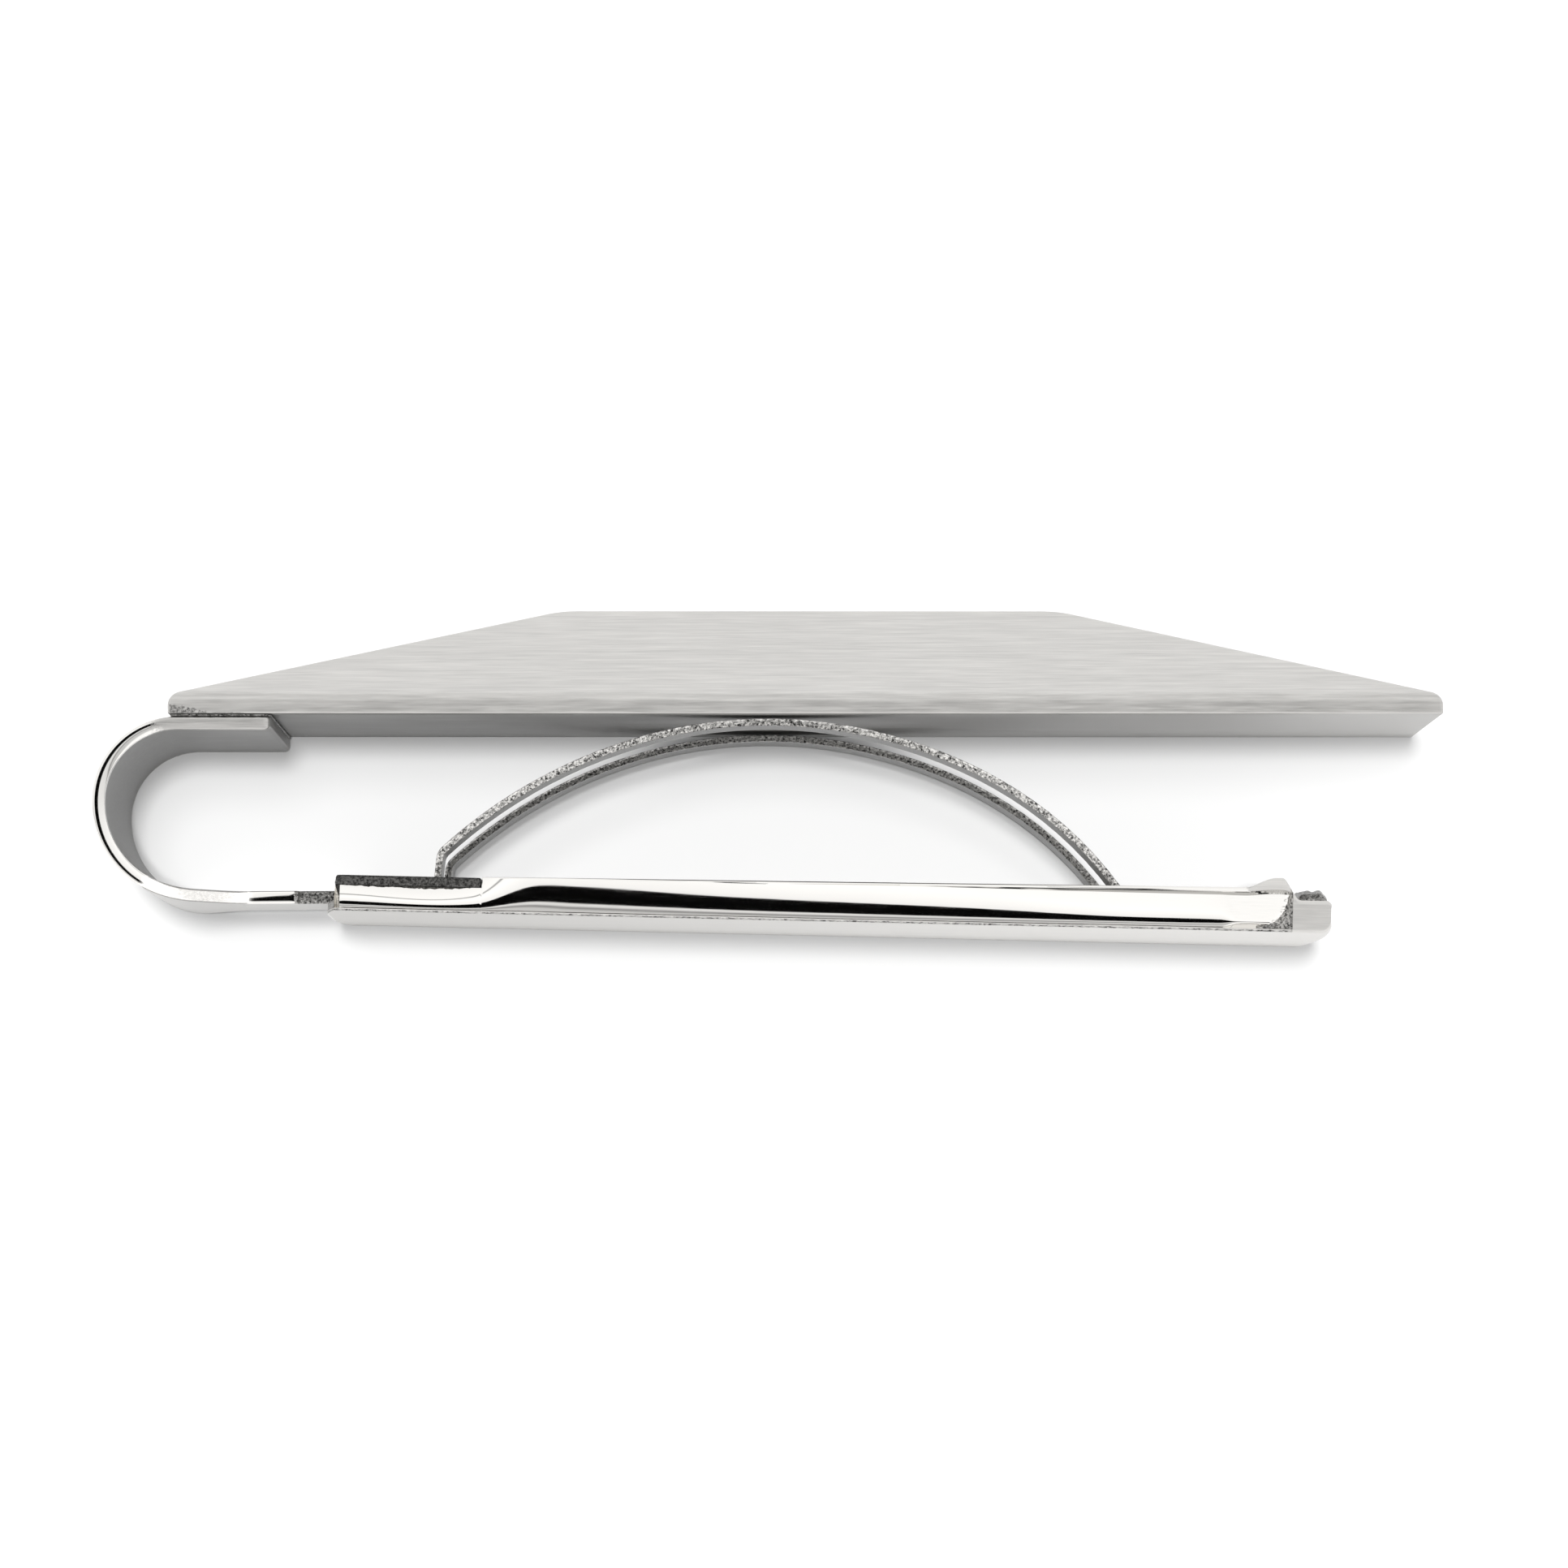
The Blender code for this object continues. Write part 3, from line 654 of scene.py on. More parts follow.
def strip_half_width(x, y):
    if y > BEND_Y or x < TAPER_START:
        return WIDTH / 2
    if x > NECK_START + 0.01 * MM:
        return NECK_HALF_WIDTH
    share = smooth(TAPER_START, TAPER_END, x)
    return WIDTH / 2 + share * (LEG_HALF_WIDTH - WIDTH / 2)


def crown(across, flatness):
    """How far the polished edge drops, across the strip's thickness, from a crest near its outer side."""
    crest = CREST - 0.05 * MM * flatness
    radius = OUTER_CROWN_RADIUS if across > crest else INNER_CROWN_RADIUS
    return (across - crest) ** 2 / (2 * radius * (1 + 1.6 * flatness))


def strip_ring(x, y, heading):
    """One section of the strip: rounded corners, crowned edges, ragged edges on the neck."""
    half = strip_half_width(x, y)
    end = 1 - min((TAB_RIGHT - x) / TAB_CORNER, 1.0) if y > BEND_Y else 0.0
    half -= TAB_CORNER * (1 - math.sqrt(1 - end ** 2))
    out = Vector((-math.sin(heading), math.cos(heading))) * -1
    on_neck = smooth(NECK_START - 0.25 * MM, NECK_START, x) if y < BEND_Y else 0.0
    flatness = smooth(STREAK_START, NECK_START, x) if y < BEND_Y else 0.0
    on_leg = smooth(BEND_LEFT + 1.0 * MM, BEND_LEFT + LOWER_RADIUS, x) if y < BEND_Y else 0.0
    tapered = smooth(TAPER_START - 0.4 * MM, TAPER_START, x)
    tapered -= smooth(TAPER_END - 0.3 * MM, TAPER_END + 0.2 * MM, x)
    tapered = tapered if y < BEND_Y else 0.0
    section = rounded([
        (-STRIP_HALF, -half, INNER_CORNER, 10),
        (STRIP_HALF, -half, OUTER_CORNER, 30),
        (STRIP_HALF, half, OUTER_CORNER, 10),
        (-STRIP_HALF, half, INNER_CORNER, 30),
    ], steps=5)
    ring = []
    shares = []
    thinned = 0.6 * (1 - math.sqrt(1 - end ** 2))
    for across, z in section:
        if across < 0:
            across *= 1 - thinned
        at_edge = smooth(half - 0.14 * MM, half - 0.03 * MM, abs(z))
        drop = crown(across, flatness) * (1 - on_neck) * at_edge
        point = Vector((x, y)) + out * across
        if on_neck > 0:
            place = (point.x, point.y, z)
            lump = rough(place, 0.20 * MM, 1.0) + 0.7 * rough(place, 0.09 * MM, 2.0)
            drop += NECK_LUMPS * lump * on_neck * at_edge
        ring.append(Vector((point.x, point.y, MID_Z + z - math.copysign(drop, z))))
        brushed = smooth(PLATE_LOW.x - 2.4 * MM, PLATE_LOW.x + 1.4 * MM, x) if y > 0 else 0.0
        # Painted shade: full on the inner face of the bend and tab, a little on the outer face and more on
        # the leg's underside
        inside = smooth(0.05 * MM, 0.2 * MM, -across) * (1 - at_edge)
        outside = smooth(0.05 * MM, 0.2 * MM, across) * (1 - at_edge)
        outline = smooth(0.20 * MM, 0.25 * MM, abs(across))
        # the tab's sheared end face, under the plate, gets painted shade
        sheared = 0.85 if x > TAB_RIGHT - 0.01 * MM and y > 0 else 0.0
        layer_amount = (OUTSIDE_PAINTED_SHADE + (LEG_PAINTED_SHADE - OUTSIDE_PAINTED_SHADE) * on_leg) * outside
        # shade: painted shade, and on the tapered edge painted dark lines at its corners with a painted
        # highlight between them
        shade = max(inside, layer_amount, sheared) + (PAINTED_EDGE_LINE * outline - PAINTED_EDGE_HIGHLIGHT) * tapered * at_edge
        shares.append((max(brushed, inside, tapered * at_edge, outside), on_neck * at_edge, shade))
    return ring, shares


def make_spring_strip():
    rings = []
    finishes = []
    for station in strip_path():
        ring, shares = strip_ring(*station)
        rings.append(ring)
        finishes.append(shares)
    strip = new_piece("bent_spring_strip", loft(rings, finishes), METALS["strip_steel"])
    for radius, length, operation in (
        (KNUCKLE_RADIUS, 2 * NECK_HALF_WIDTH - 0.1 * MM, "UNION"),
        (BORE_RADIUS, 3 * NECK_HALF_WIDTH, "DIFFERENCE"),
    ):
        bm = rod(radius, length, 64, 1.0, 0.0, 0.0)
        bmesh.ops.translate(bm, vec=PIVOT, verts=bm.verts)
        apply_boolean(strip, new_piece("knuckle_tool", bm, METALS["strip_steel"]), operation)
    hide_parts("spring_strip")
    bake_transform(strip)


make_spring_strip()


# ---------------------------------------------------------------- hinge pin


def finish_hinge_pin():
    """The pin keeps its CAD shape, which only shows between the knuckle and the arm's walls."""
    for slot in frame["nodes"]["hinge_pin"].material_slots:
        slot.material = METALS["pin_steel"]


finish_hinge_pin()


# ---------------------------------------------------------------- back arm

ARM_START = -0.80 * MM
ARM_END = 40.17 * MM
ARM_BOTTOM = -0.77 * MM
FLOOR_TOP = -0.37 * MM
LIP_START = -1.40 * MM
BARREL_END = 5.24 * MM
BARREL_TOP = 0.31 * MM
ARM_TOP_AT_PIVOT = 0.71 * MM
ARM_TOP_RISE = 0.0092
RIM_START = 10.5 * MM
RIM_LINE_AT_PIVOT = 0.68 * MM
RIM_LINE_RISE = 0.0045
EAR_START = 36.75 * MM
EAR_PEAK = 37.95 * MM
EAR_FLAT = 0.20 * MM
EAR_TOP = 1.46 * MM
EAR_END = 38.95 * MM
TAB_TOP = 0.55 * MM
TOE_RADIUS = 0.42 * MM
TOE_BULGE = 0.38 * MM
CHANNEL_END = 38.55 * MM
ARM_INNER_HALF = 8.80 * MM
GROOVE_DEPTH = 0.30 * MM
GROOVE_END = 38.58 * MM
FLANGE_TOP = -0.66 * MM
ARCH_START = 38.97 * MM
ARCH_END = 40.02 * MM
ARCH_HALF_WIDTH = 6.50 * MM
ARCH_RISE = 0.64 * MM
NOTCH_HALF_WIDTH = 4.40 * MM
NOTCH_END = 0.95 * MM
TROUGH_RADIUS = 0.60 * MM
RELIEF_DEPTH = 0.33 * MM
RELIEF_LENGTH = 3.0 * MM
SEAT_RADIUS = 0.35 * MM
SEAT_HALF_LENGTH = 9.15 * MM
ARM_CHAMFER = 0.11 * MM
TOE_EASE = 0.12 * MM
# Painted shade on the arm's underside, strongest at the hinge end and less along the channel
PAINTED_SHADE_AT_HINGE = 0.42
HINGE_SHADE_FADE = 0.34
EDGE_ROUGH = 0.75
CARD_NORMAL = math.radians(3.0)
LIP_INSET = 0.02 * MM
PROUD_DEPTH = 0.14 * MM
END_ROLL = 0.25 * MM
FILLET_LUMPS = 0.05 * MM
BOTTOM_STEPS = 12
CORNER_STEPS = 4
SIDE_STEPS = 44
RIM_STEPS = 5

# Knots of curves along the arm, in millimetres: the height where the side faces straight up ...
CREST_LINE = (
    (-0.8, -0.42), (4.9, -0.46), (7.2, 0.06), (9.0, 0.07),
    (15.5, -0.13), (25.5, -0.27), (31.0, -0.37), (37.0, -0.38),
)
# ... and how far from that height the side has turned by CARD_NORMAL
FLAT_REACH = (
    (-0.8, 0.08), (4.9, 0.09), (7.2, 0.34), (9.0, 0.38), (15.5, 0.29),
    (25.5, 0.20), (31.0, 0.11), (35.6, 0.085), (36.3, 0.01), (38.0, 0.01),
)


def through(knots, u):
    """A smooth curve through (u, value) knots, both in millimetres."""
    u = min(max(u / MM, knots[0][0]), knots[-1][0])
    index = max(i for i in range(len(knots) - 1) if knots[i][0] <= u)
    (x0, y0), (x1, y1) = knots[index], knots[index + 1]
    before = knots[max(index - 1, 0)]
    after = knots[min(index + 2, len(knots) - 1)]
    slope0 = (y1 - before[1]) / (x1 - before[0])
    slope1 = (after[1] - y0) / (after[0] - x0)
    t = (u - x0) / (x1 - x0)
    step = x1 - x0
    value = y0 * (1 + 2 * t) * (1 - t) ** 2 + slope0 * step * t * (1 - t) ** 2
    value += y1 * t ** 2 * (3 - 2 * t) + slope1 * step * t ** 2 * (t - 1)
    return value * MM


def wall_top(u):
    """Height of the side walls: lip, low barrel under the cover, long wall, ear and thumb tab."""
    if u < ARM_START:
        return FLOOR_TOP
    if u < BARREL_END:
        return BARREL_TOP
    height = ARM_TOP_AT_PIVOT + ARM_TOP_RISE * u
    if u < EAR_PEAK:
        return height + (EAR_TOP - height) * smooth(EAR_START, EAR_PEAK, u) ** 0.75
    return TAB_TOP + (EAR_TOP - TAB_TOP) * (1 - smooth(EAR_PEAK + EAR_FLAT, EAR_END, u)) ** 1.2


def rim_line(u):
    """Height of the crease under the walls' rim, which leaves the top edge and widens to the right."""
    if u < BARREL_END:
        return BARREL_TOP - 0.02 * MM
    line = RIM_LINE_AT_PIVOT + RIM_LINE_RISE * u
    edge = ARM_TOP_AT_PIVOT + ARM_TOP_RISE * u - 0.03 * MM
    return edge + (line - edge) * smooth(RIM_START - 3 * MM, RIM_START + 3 * MM, u)


def lean(gap, reach, most):
    """Depth of a face that turns away from straight up, evenly at first and then up to a steepest lean."""
    radius = reach / CARD_NORMAL
    return radius * most ** 2 * math.log(math.cosh(gap / (radius * most)))


def side_depth(u, v):
    """How far the polished side lies inside the arm's full width."""
    crest = through(CREST_LINE, u)
    reach = through(FLAT_REACH, u)
    on_barrel = 1 - smooth(4.5 * MM, 7.5 * MM, u)
    gap = v - crest
    if gap > 0:
        depth = lean(gap, reach, 0.20 + 0.45 * on_barrel)
    else:
        depth = lean(gap, reach * 0.85, 0.50)
    return GROOVE_DEPTH + depth


def fillet_width(v):
    """Width along the arm of the rough fillet at the groove's end, which is wider lower down."""
    height = max((v - ARM_BOTTOM) / (ARM_TOP_AT_PIVOT - ARM_BOTTOM), 0.0)
    return max(0.40 * MM / (height + 0.14) - 0.22 * MM, 0.08 * MM)


def arm_side(u, v):
    """Half width of the arm's outer side, and its (satin, rough, painted light) shares, at a point of the
    side view.
    """
    half = WIDTH / 2
    if u < ARM_START:
        share = (ARM_START - u) / (ARM_START - LIP_START)
        # the lip beyond the arm's end: partly satin and rough, with some painted shade
        return (half - LIP_INSET) * math.sqrt(1 - 0.98 * share), (0.6, 0.7, 0.3)
    if u > GROOVE_END:
        return half, (1.0, 0.0, 0.0)
    rim = rim_line(u)
    depth = side_depth(u, min(v, rim))
    if v > rim:
        proud = smooth(RIM_START, EAR_START, u)
        depth += (PROUD_DEPTH - depth) * proud * smooth(rim, rim + 0.04 * MM, v)
        depth += (v - rim) * (0.45 - 0.33 * proud)
    depth += END_ROLL * (1 - smooth(0.0, END_ROLL, u - ARM_START)) ** 2
    border = GROOVE_END - u
    width = fillet_width(v)
    depth *= 1 - 0.8 * (1 - smooth(0.04 * MM, width, border))
    broken = 1 - smooth(width - 0.12 * MM, width + 0.14 * MM, border)
    if v > rim:
        ear = smooth(EAR_START - 0.9 * MM, EAR_START + 0.5 * MM, u)
        return half - depth, (0.75 * ear, 0.0, 0.0)
    lump = rough((u, v, 0.0), 0.22 * MM, 4.0) + 0.8 * rough((u, v, 0.0), 0.09 * MM, 6.0)
    depth += FILLET_LUMPS * broken * lump
    return half - max(depth, 0.0), (0.0, broken, 0.0)


def arm_stations():
    """Places along the arm, close together where its shape changes."""
    marks = [
        (LIP_START, ARM_START - 0.02 * MM, 6),
        (ARM_START, BARREL_END - 0.01 * MM, 60),
        (BARREL_END, 7.6 * MM, 40),
        (7.6 * MM, 33.5 * MM, 120),
        (33.5 * MM, CHANNEL_END - 0.01 * MM, 110),
        (CHANNEL_END, GROOVE_END, 2),
        (GROOVE_END + 0.02 * MM, ARCH_START - 0.02 * MM, 8),
        (ARCH_START, ARCH_END, 24),
    ]
    stations = []
    for start, end, count in marks:
        stations += [start + (end - start) * k / count for k in range(count + 1)]
    toe = [ARM_END - TOE_RADIUS + TOE_RADIUS * math.sin(math.pi / 2 * k / 12) for k in range(13)]
    stations += [station for station in toe if station > stations[-1] + 0.01 * MM]
    return sorted(set(stations))


def arm_bottom(u):
    center = ARM_END - TOE_RADIUS
    if u < center:
        return ARM_BOTTOM
    return ARM_BOTTOM + TOE_RADIUS - math.sqrt(max(TOE_RADIUS ** 2 - (u - center) ** 2, 0.0))


def arch(u, z):
    """Height of the rough rim that arches over the thumb tab."""
    if not ARCH_START <= u <= ARCH_END or abs(z) > ARCH_HALF_WIDTH:
        return ARM_BOTTOM
    off = (2 * u - ARCH_START - ARCH_END) / (ARCH_END - ARCH_START)
    across = abs(z) / ARCH_HALF_WIDTH
    rise = ARCH_RISE * (1 - 0.33 * across ** 2) * math.sqrt(1 - across ** 16)
    rise *= math.sqrt(max(1 - off ** 4, 0.0))
    return TAB_TOP + rise * (1 + 0.25 * rough((u, 0.0, z), 0.2 * MM, 12.0))


# Shares of the inner half width, closest together where the thumb tab's arch ends
INNER_COLUMNS = (
    0.9, 0.8, 0.745, 0.738, 0.73, 0.72, 0.71, 0.69, 0.66, 0.60, 0.50, 0.40, 0.30, 0.20, 0.10, 0.0,
)


def half_outline(u):
    """The near half of a section: from the bottom's middle out, up the side, and in along the top."""
    bottom = arm_bottom(u)
    top = wall_top(u) - max(u - ARM_END + TOE_EASE, 0.0)
    half, _ = arm_side(u, bottom + ARM_CHAMFER)
    solid = u > GROOVE_END or u < ARM_START
    outer = half if solid else WIDTH / 2
    # painted shade on the underside and its rounded corner, fading from the hinge end along the channel
    layer_amount = PAINTED_SHADE_AT_HINGE - HINGE_SHADE_FADE * smooth(0.0, CHANNEL_END, u)
    reach = outer - ARM_CHAMFER
    points = [(reach * k / BOTTOM_STEPS, bottom, (1.0, 0.0, layer_amount)) for k in range(BOTTOM_STEPS + 1)]
    flange = FLANGE_TOP if not solid else bottom + ARM_CHAMFER
    edge_rough = 0.0 if u > GROOVE_END else EDGE_ROUGH
    for k in range(1, CORNER_STEPS + 1):
        angle = math.pi / 2 * k / CORNER_STEPS
        z = reach + ARM_CHAMFER * math.sin(angle)
        finish = (1.0, edge_rough * math.sin(2 * angle), layer_amount * (1 - k / CORNER_STEPS))
        points.append((z, bottom + ARM_CHAMFER * (1 - math.cos(angle)), finish))
    rim = min(rim_line(u), top - 0.02 * MM) if u <= GROOVE_END else bottom + (top - bottom) * 0.8
    low = max(flange, bottom + ARM_CHAMFER)
    for k in range(1, SIDE_STEPS + 1):
        v = low + (rim - low) * k / SIDE_STEPS
        z, shares = arm_side(u, v)
        if u < ARM_START:
            z = half
        points.append((z, v, shares))
    for k in range(1, RIM_STEPS + 1):
        v = rim + (top - rim) * k / RIM_STEPS
        z, shares = arm_side(u, v)
        rounding = 0.05 * MM * smooth(0.5, 1.0, k / RIM_STEPS) ** 2
        points.append((z - rounding, v, shares))
    inner = min(ARM_INNER_HALF, points[-1][0] - 0.1 * MM)
    open_top = ARM_START < u < CHANNEL_END
    edge = points[-1][0]
    for k in range(1, 4):
        points.append((edge + (inner - edge) * k / 3, top, (0.3, 0.6 if u < BARREL_END else 0.0, 0.0)))
    floor = FLOOR_TOP if open_top else top
    # the inner walls get painted shade
    for k in range(1, 5):
        points.append((inner - 0.002 * MM * k, top + (floor - top) * k / 4, (1.0, 0.0, 0.5)))
    inner = points[-1][0]
    # the channel's floor gets painted shade, but not the raised arch
    for share in INNER_COLUMNS:
        z = inner * share
        v = floor if open_top or u < ARM_START else max(top, arch(u, z))
        raised = smooth(0.01 * MM, 0.10 * MM, v - top)
        points.append((z, v, (1.0, raised, 0.5 * (1 - raised))))
    return points


def arm_ring(u):
    near = half_outline(u)
    far = [(-z, v, shares) for z, v, shares in near[1:-1]]
    whole = near + far[::-1]
    bulge = smooth(ARCH_START, ARM_END, u) * TOE_BULGE
    ring = [Vector((u + bulge * (1 - (z / (WIDTH / 2)) ** 2), v, z)) for z, v, _ in whole]
    return ring, [shares for _, _, shares in whole]


def make_back_arm():
    """The channel arm, cut out for the strip's neck and knuckle and for the pin."""
    rings = []
    finishes = []
    for u in arm_stations():
        ring, shares = arm_ring(u)
        rings.append(ring)
        finishes.append(shares)
    arm = new_piece("polished_back_arm", loft(rings, finishes), METALS["arm_polished"])
    # the notch's cut faces are rough and get painted shade
    relief, spread = finished_mesh(1.0, 1.0, 0.7)
    bmesh.ops.create_cube(relief, size=1.0)
    low = Vector((-RELIEF_LENGTH, -RELIEF_DEPTH, -NOTCH_HALF_WIDTH))
    high = Vector((0.0, ARM_TOP_AT_PIVOT, NOTCH_HALF_WIDTH))
    bmesh.ops.scale(relief, vec=high - low, verts=relief.verts)
    bmesh.ops.translate(relief, vec=(low + high) / 2, verts=relief.verts)
    bmesh.ops.rotate(relief, matrix=Matrix.Rotation(SWING, 3, "Z"), verts=relief.verts)
    spread()
    apply_boolean(arm, new_piece("relief_tool", relief, METALS["arm_polished"]), "DIFFERENCE")
    # the bores get painted shade
    for radius, half_length in ((TROUGH_RADIUS, NOTCH_HALF_WIDTH), (SEAT_RADIUS, SEAT_HALF_LENGTH)):
        bore = rod(radius, 2 * half_length, 48, 1.0, 0.0, 0.5)
        apply_boolean(arm, new_piece("bore_tool", bore, METALS["arm_polished"]), "DIFFERENCE")
    arm.matrix_world = ARM_MATRIX
    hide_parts("back_arm")
    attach(arm, "arm")


make_back_arm()


# ---------------------------------------------------------------- hinge cover

COVER_BOTTOM = 0.33 * MM
COVER_TOP = 0.72 * MM
COVER_END = BARREL_END - 0.02 * MM
COVER_INSET = 0.42 * MM
COVER_CORNER = 0.12 * MM
COVER_LAYERS = 9
COVER_LUMPS = 0.035 * MM
COVER_TEARS = 0.03 * MM
COVER_ROLL = 0.07 * MM


def make_hinge_cover():
    """The plate over the pin, open above the knuckle, with a torn lower half to its sheared edge."""
    half = WIDTH / 2 - COVER_INSET
    outline = rounded([
        (COVER_END, -half, COVER_CORNER, 160),
        (COVER_END, half, COVER_CORNER, 60),
        (ARM_START, half, 4 * COVER_CORNER, 40),
        (ARM_START, NOTCH_HALF_WIDTH, COVER_CORNER, 12),
        (NOTCH_END, NOTCH_HALF_WIDTH, COVER_CORNER, 60),
        (NOTCH_END, -NOTCH_HALF_WIDTH, COVER_CORNER, 12),
        (ARM_START, -NOTCH_HALF_WIDTH, COVER_CORNER, 40),
        (ARM_START, -half, 4 * COVER_CORNER, 60),
    ])
    rings = []
    finishes = []
    for k in range(COVER_LAYERS + 1):
        share = k / COVER_LAYERS
        v = COVER_BOTTOM + (COVER_TOP - COVER_BOTTOM) * share
        torn = 1 - smooth(0.15, 0.75, share)
        rolled = COVER_ROLL * smooth(0.75, 1.0, share) ** 2
        ring = []
        for i, point in enumerate(outline):
            before = outline[i - 1]
            after = outline[(i + 1) % len(outline)]
            along = (after - before).normalized()
            out = Vector((along.y, -along.x))
            place = (point.x, v, point.y)
            lump = rough(place, 0.25 * MM, 7.0) + 0.8 * rough(place, 0.08 * MM, 8.0)
            shift = out * (COVER_LUMPS * lump * (0.5 + torn) - rolled)
            drop = -COVER_TEARS * abs(rough(place, 0.12 * MM, 9.0)) if k == 0 else 0.0
            ring.append(Vector((point.x + shift.x, v + drop, point.y + shift.y)))
        rings.append(ring)
        finishes.append([(1.0, 1.0, 0.0)] * len(ring))
    cover = new_piece("sheared_hinge_cover", loft(rings, finishes), METALS["cover_steel"], angle=60)
    cover.matrix_world = ARM_MATRIX
    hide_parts("hinge_cover")
    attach(cover, "arm")


make_hinge_cover()


# ---------------------------------------------------------------- bow spring

BOW_HALF_THICKNESS = 0.145 * MM
BOW_RADIUS = 18.83 * MM - BOW_HALF_THICKNESS
BOW_CENTER_Y = BOW_HIGH.y - BOW_HALF_THICKNESS - BOW_RADIUS
BOW_LEFT = -13.50 * MM
BOW_RIGHT = 14.90 * MM
LEFT_FULLNESS = 0.364 * MM
RIGHT_FULLNESS = 1.60 * MM
RIGHT_FULL_END = 14.0 * MM
BOW_OUTER_HALF = (BOW_HIGH.z - BOW_LOW.z) / 2
BOW_RAIL = 3.60 * MM
BOW_BEND = 0.22 * MM
BOW_FOOT_LENGTH = 2.60 * MM
BOW_LEAN = 0.12 * MM
BOW_STEEPNESS = 0.75
BOW_STEP = 0.09 * MM
BOW_STEPS = 40
BOW_CORNER = 0.03 * MM
BOW_LUMPS = 0.045 * MM
BOW_PITTING = 0.02 * MM
COVER_GAP = 0.03 * MM
FLOOR_GAP = 0.06 * MM
BRIDGE_OVERLAP = 0.3 * MM
EASED_TURN = math.radians(8)
# Painted shade on the rails' undersides, and a painted dark line along the upper corner of their ragged edges
UNDERSIDE_PAINTED_SHADE = 0.95
OUTLINE_PAINTED_SHADE = 0.9


def on_arm(x, v):
    """Height in Y of a line along the arm, at a given x."""
    return PIVOT.y + (x - PIVOT.x) * math.tan(ARM_SLOPE) + v / math.cos(ARM_SLOPE)


def softened(points, reach):
    """A polyline with each corner that turns by more than a little eased into a short curve."""
    eased = [points[0]]
    for before, here, after in zip(points, points[1:], points[2:]):
        if (here - before).angle(after - here) < EASED_TURN:
            eased.append(here)
            continue
        start = here + (before - here).normalized() * min(reach, (before - here).length * 0.9)
        end = here + (after - here).normalized() * min(reach, (after - here).length * 0.9)
        for k in range(7):
            t = k / 6
            eased.append(start * (1 - t) ** 2 + here * 2 * t * (1 - t) + end * t ** 2)
    eased.append(points[-1])
    return eased


def evenly(points, step):
    """Points along a polyline at an even spacing."""
    spaced = [points[0]]
    for start, end in zip(points, points[1:]):
        count = max(1, round((end - start).length / step))
        spaced += [start.lerp(end, k / count) for k in range(1, count + 1)]
    return spaced


def fullness(x):
    """How far the bow stands outside a true arc, which is most near its left end."""
    if x < 0:
        return LEFT_FULLNESS * (x / BOW_LEFT) ** 4
    share = x / RIGHT_FULL_END
    return RIGHT_FULLNESS * share ** 4 * (1 - share)


def bow_path():
    """The bow's centre line and its foot: free end on the cover, upright, arc, leg, foot on the floor."""
    left = math.acos(BOW_LEFT / BOW_RADIUS)
    right = math.acos(BOW_RIGHT / BOW_RADIUS)
    upright_x = BOW_LEFT - BOW_LEAN
    corners = [Vector((upright_x, on_arm(upright_x, COVER_TOP + COVER_GAP)))]
    for k in range(BOW_STEPS + 1):
        angle = left + (right - left) * k / BOW_STEPS
        x = BOW_RADIUS * math.cos(angle)
        corners.append(Vector((x, BOW_CENTER_Y + BOW_RADIUS * math.sin(angle) + fullness(x))))
    floor = FLOOR_TOP + FLOOR_GAP + BOW_HALF_THICKNESS
    drop = corners[-1].y - on_arm(BOW_RIGHT, floor)
    landing = BOW_RIGHT + drop * math.tan(right) * BOW_STEEPNESS
    toe = landing + BOW_FOOT_LENGTH
    foot = [Vector((landing, on_arm(landing, floor))), Vector((toe, on_arm(toe, floor)))]
    return evenly(softened(corners + foot, BOW_BEND), BOW_STEP), foot


def leaf(path, z_low, z_high, ragged=True):
    """A closed strip of spring steel along a path, with sheared, pitted edges."""
    middle = (z_low + z_high) / 2
    half = (z_high - z_low) / 2
    thin = BOW_HALF_THICKNESS
    section = rounded([
        (-thin, -half, BOW_CORNER, 4),
        (thin, -half, BOW_CORNER, 10),
        (thin, half, BOW_CORNER, 4),
        (-thin, half, BOW_CORNER, 10),
    ], steps=2)
    rings = []
    finishes = []
    for i, point in enumerate(path):
        along = (path[min(i + 1, len(path) - 1)] - path[max(i - 1, 0)]).normalized()
        out = Vector((-along.y, along.x))
        ring = []
        shares = []
        for across, z in section:
            at_edge = smooth(half - 0.10 * MM, half - 0.02 * MM, abs(z)) if ragged else 0.0
            spot = point + out * across
            place = (spot.x, spot.y, middle + z)
            lump = rough(place, 0.16 * MM, 10.0) + 0.9 * rough(place, 0.07 * MM, 11.0)
            push = BOW_LUMPS * lump * at_edge
            depth = middle + z + math.copysign(push, z) - at_edge * BOW_PITTING * z / half
            ring.append(Vector((spot.x, spot.y, depth)))
            # painted shade on the underside, and a painted dark line along the upper corner of the ragged
            # edge
            under = smooth(0.3 * thin, 0.8 * thin, -across) * (1 - at_edge)
            outline = smooth(0.5 * thin, 0.8 * thin, across) * at_edge
            shares.append((1.0, at_edge, UNDERSIDE_PAINTED_SHADE * under + OUTLINE_PAINTED_SHADE * outline))
        rings.append(ring)
        finishes.append(shares)
    return loft(rings, finishes)


